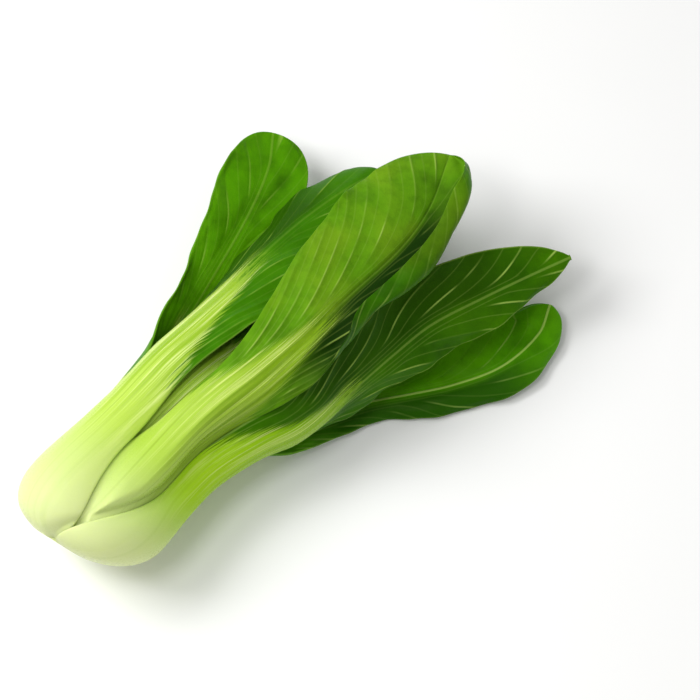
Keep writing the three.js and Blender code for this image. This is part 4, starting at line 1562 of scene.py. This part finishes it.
@dataclass
class Stem:
    """The short stem inside the bulb, with its cut end. Lengths are in millimetres."""

    node: str = "stem"
    sides: int = 72
    insets: tuple[float, ...] = (0.25, 0.5, 0.9, 1.2, 1.5, 1.6, 1.6)  # widths of the cut's rings
    dish: float = 0.5  # how far the pith has shrunk back from the cut...
    dished: tuple[float, float] = (8.6, 4.0)  # ... and over which radii it has come that far
    uneven: float = 0.18  # height of the cut's bumps...
    uneven_size: float = 4.0  # ... and their size
    crease: float = 50.0  # a sharper edge than this is shaded as one, in degrees

    def build(self) -> None:
        """A disc is added at the cut, drawn out along the core, and inset towards its middle."""
        deselect()
        first = CORE[0][1]
        bpy.ops.mesh.primitive_circle_add(
            vertices=self.sides, radius=first * MM, fill_type="NGON",
            location=(CUT_X * MM, 0, AXIS_Z * MM), rotation=(0, math.pi / 2, 0),
        )
        stem = bpy.context.object
        stem.name = stem.data.name = "grown_stem"
        bpy.ops.object.transform_apply(location=True, rotation=True, scale=True)
        bpy.ops.object.mode_set(mode="EDIT")
        bpy.ops.mesh.select_all(action="SELECT")
        self.draw_out()
        self.inset_cut(stem)
        bpy.ops.mesh.select_all(action="SELECT")
        bpy.ops.mesh.normals_make_consistent(inside=False)
        bpy.ops.object.mode_set(mode="OBJECT")
        self.shape(stem)
        bpy.ops.object.shade_smooth_by_angle(angle=math.radians(self.crease))
        stem.data.materials.append(StemFinish().build())
        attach(stem, "root")
        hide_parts(self.node)
        LOG.info("%s: %d faces", stem.name, len(stem.data.polygons))

    def draw_out(self) -> None:
        """Extrudes the selected disc from one size of the core to the next."""
        for (s, radius), (after, wider) in zip(CORE, CORE[1:]):
            step = ((after - s) * MM, 0, 0)
            bpy.ops.mesh.extrude_region_move(TRANSFORM_OT_translate={"value": step})
            centre = ((CUT_X + after) * MM, 0, AXIS_Z * MM)
            growth = wider / radius
            bpy.ops.transform.resize(value=(1, growth, growth), center_override=centre)

    def inset_cut(self, stem: bpy.types.Object) -> None:
        """Insets the cut face in rings, so that its relief has points to stand on.

        Args:
            stem: The stem, in edit mode.
        """
        bpy.ops.mesh.select_all(action="DESELECT")
        bpy.ops.object.mode_set(mode="OBJECT")
        at_cut = (CUT_X + 0.01) * MM
        for face in stem.data.polygons:
            face.select = face.center.x < at_cut
        bpy.ops.object.mode_set(mode="EDIT")
        for step in self.insets:
            bpy.ops.mesh.inset(thickness=step * MM)

    def shape(self, stem: bpy.types.Object) -> None:
        """Dishes and roughens the cut face, and gives the whole stem the slant of the cut.

        Args:
            stem: The stem, in object mode.
        """
        count = len(stem.data.vertices)
        flat = np.zeros(count * 3, np.float32)
        stem.data.vertices.foreach_get("co", flat)
        points = flat.reshape(-1, 3).astype(float) / MM
        distance = np.hypot(points[:, 1], points[:, 2] - AXIS_Z)
        on_cut = points[:, 0] < CUT_X + 0.1
        sunk = self.dish * ease(*self.dished, distance)
        bumps = waves(points[:, 1] / self.uneven_size, points[:, 2] / self.uneven_size, 1.0)
        points[:, 0] += np.where(on_cut, sunk + self.uneven * bumps, 0.0)
        points = settle(points) * MM
        stem.data.vertices.foreach_set("co", points.astype(np.float32).ravel())


@dataclass(frozen=True)
class Lamp:
    """A square soft light, one metre from the head."""

    name: str
    back: float  # its way from the head: so much towards the camera...
    right: float  # ... so much to the view's right...
    up: float  # ... and so much up in the view
    size: float  # in metres
    power: float  # in watts


@dataclass
class Studio:
    """A pale table, soft daylight, and the camera.

    The daylight comes from a window at the upper left, and less of it from the sky above and off a
    wall at the right. Lengths are in metres.
    """

    azimuth: float = 48.2  # the camera looks towards this bearing from +Y to +X, in degrees
    elevation: float = 68.0  # and down by this much
    aim: tuple[float, float, float] = (0.110, -0.0306, 0.0249)  # what it looks at...
    distance: float = 1.9  # ... from this far
    width: float = 0.294  # of the view at the aim
    table_size: float = 6.0
    table_x: float = 0.1  # of the table's middle
    sky: str = "#f8f8f6"  # sRGB
    sky_strength: float = 0.42
    lamps: tuple[Lamp, ...] = (
        Lamp("window", back=0.85, right=-0.8, up=0.5, size=0.5, power=7.4),
        Lamp("skylight", back=1.0, right=-0.3, up=0.15, size=0.25, power=2.1),
        Lamp("far_wall", back=0.8, right=0.7, up=-0.2, size=0.9, power=1.2),
    )

    def axes(self) -> tuple[Vector, Vector, Vector]:
        """Works out the directions of the view.

        Returns:
            Its right, its up, and the way to the camera.
        """
        a, e = math.radians(self.azimuth), math.radians(self.elevation)
        right = Vector((math.cos(a), -math.sin(a), 0))
        up = Vector((math.sin(a) * math.sin(e), math.cos(a) * math.sin(e), math.cos(e)))
        return right, up, right.cross(up)

    def build(self) -> None:
        """Sets the table, the lights and the camera."""
        deselect()
        bpy.ops.mesh.primitive_plane_add(size=self.table_size, location=(self.table_x, 0, 0))
        table = bpy.context.object
        table.name = "table"
        bpy.ops.object.transform_apply(location=True)
        table.data.materials.append(TableFinish().build())
        world = bpy.data.worlds.new("daylight")
        world.use_nodes = True
        bpy.context.scene.world = world
        sky = world.node_tree.nodes["Background"]
        sky.inputs["Color"].default_value = linear(self.sky)
        sky.inputs["Strength"].default_value = self.sky_strength
        for lamp in self.lamps:
            self.light(lamp)
        bpy.context.scene.view_settings.view_transform = "Standard"
        self.camera()

    def light(self, lamp: Lamp) -> None:
        """Adds a lamp that looks at the head.

        Args:
            lamp: What it is like.
        """
        right, up, back = self.axes()
        way = back * lamp.back + right * lamp.right + up * lamp.up
        place = Vector(self.aim) + way.normalized()
        bpy.ops.object.light_add(type="AREA", location=place)
        light = bpy.context.object
        light.name = lamp.name
        light.data.size = lamp.size
        light.data.energy = lamp.power
        light.rotation_euler = (Vector(self.aim) - place).to_track_quat("-Z", "Y").to_euler()

    def camera(self) -> None:
        """Adds a long-lensed camera that looks down on the head."""
        back = self.axes()[2]
        place = Vector(self.aim) + back * self.distance
        facing = (-back).to_track_quat("-Z", "Y").to_euler()
        bpy.ops.object.camera_add(location=place, rotation=facing)
        camera = bpy.context.object
        camera.data.lens = camera.data.sensor_width * self.distance / self.width
        bpy.context.scene.camera = camera


def main() -> None:
    """Loads the frame, sets the studio and builds the pieces round it."""
    logging.basicConfig(level=logging.INFO, format="%(name)s %(message)s")
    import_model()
    Studio().build()
    Stem().build()
    Foliage(LEAVES).build()


if __name__ == "__main__":
    main()
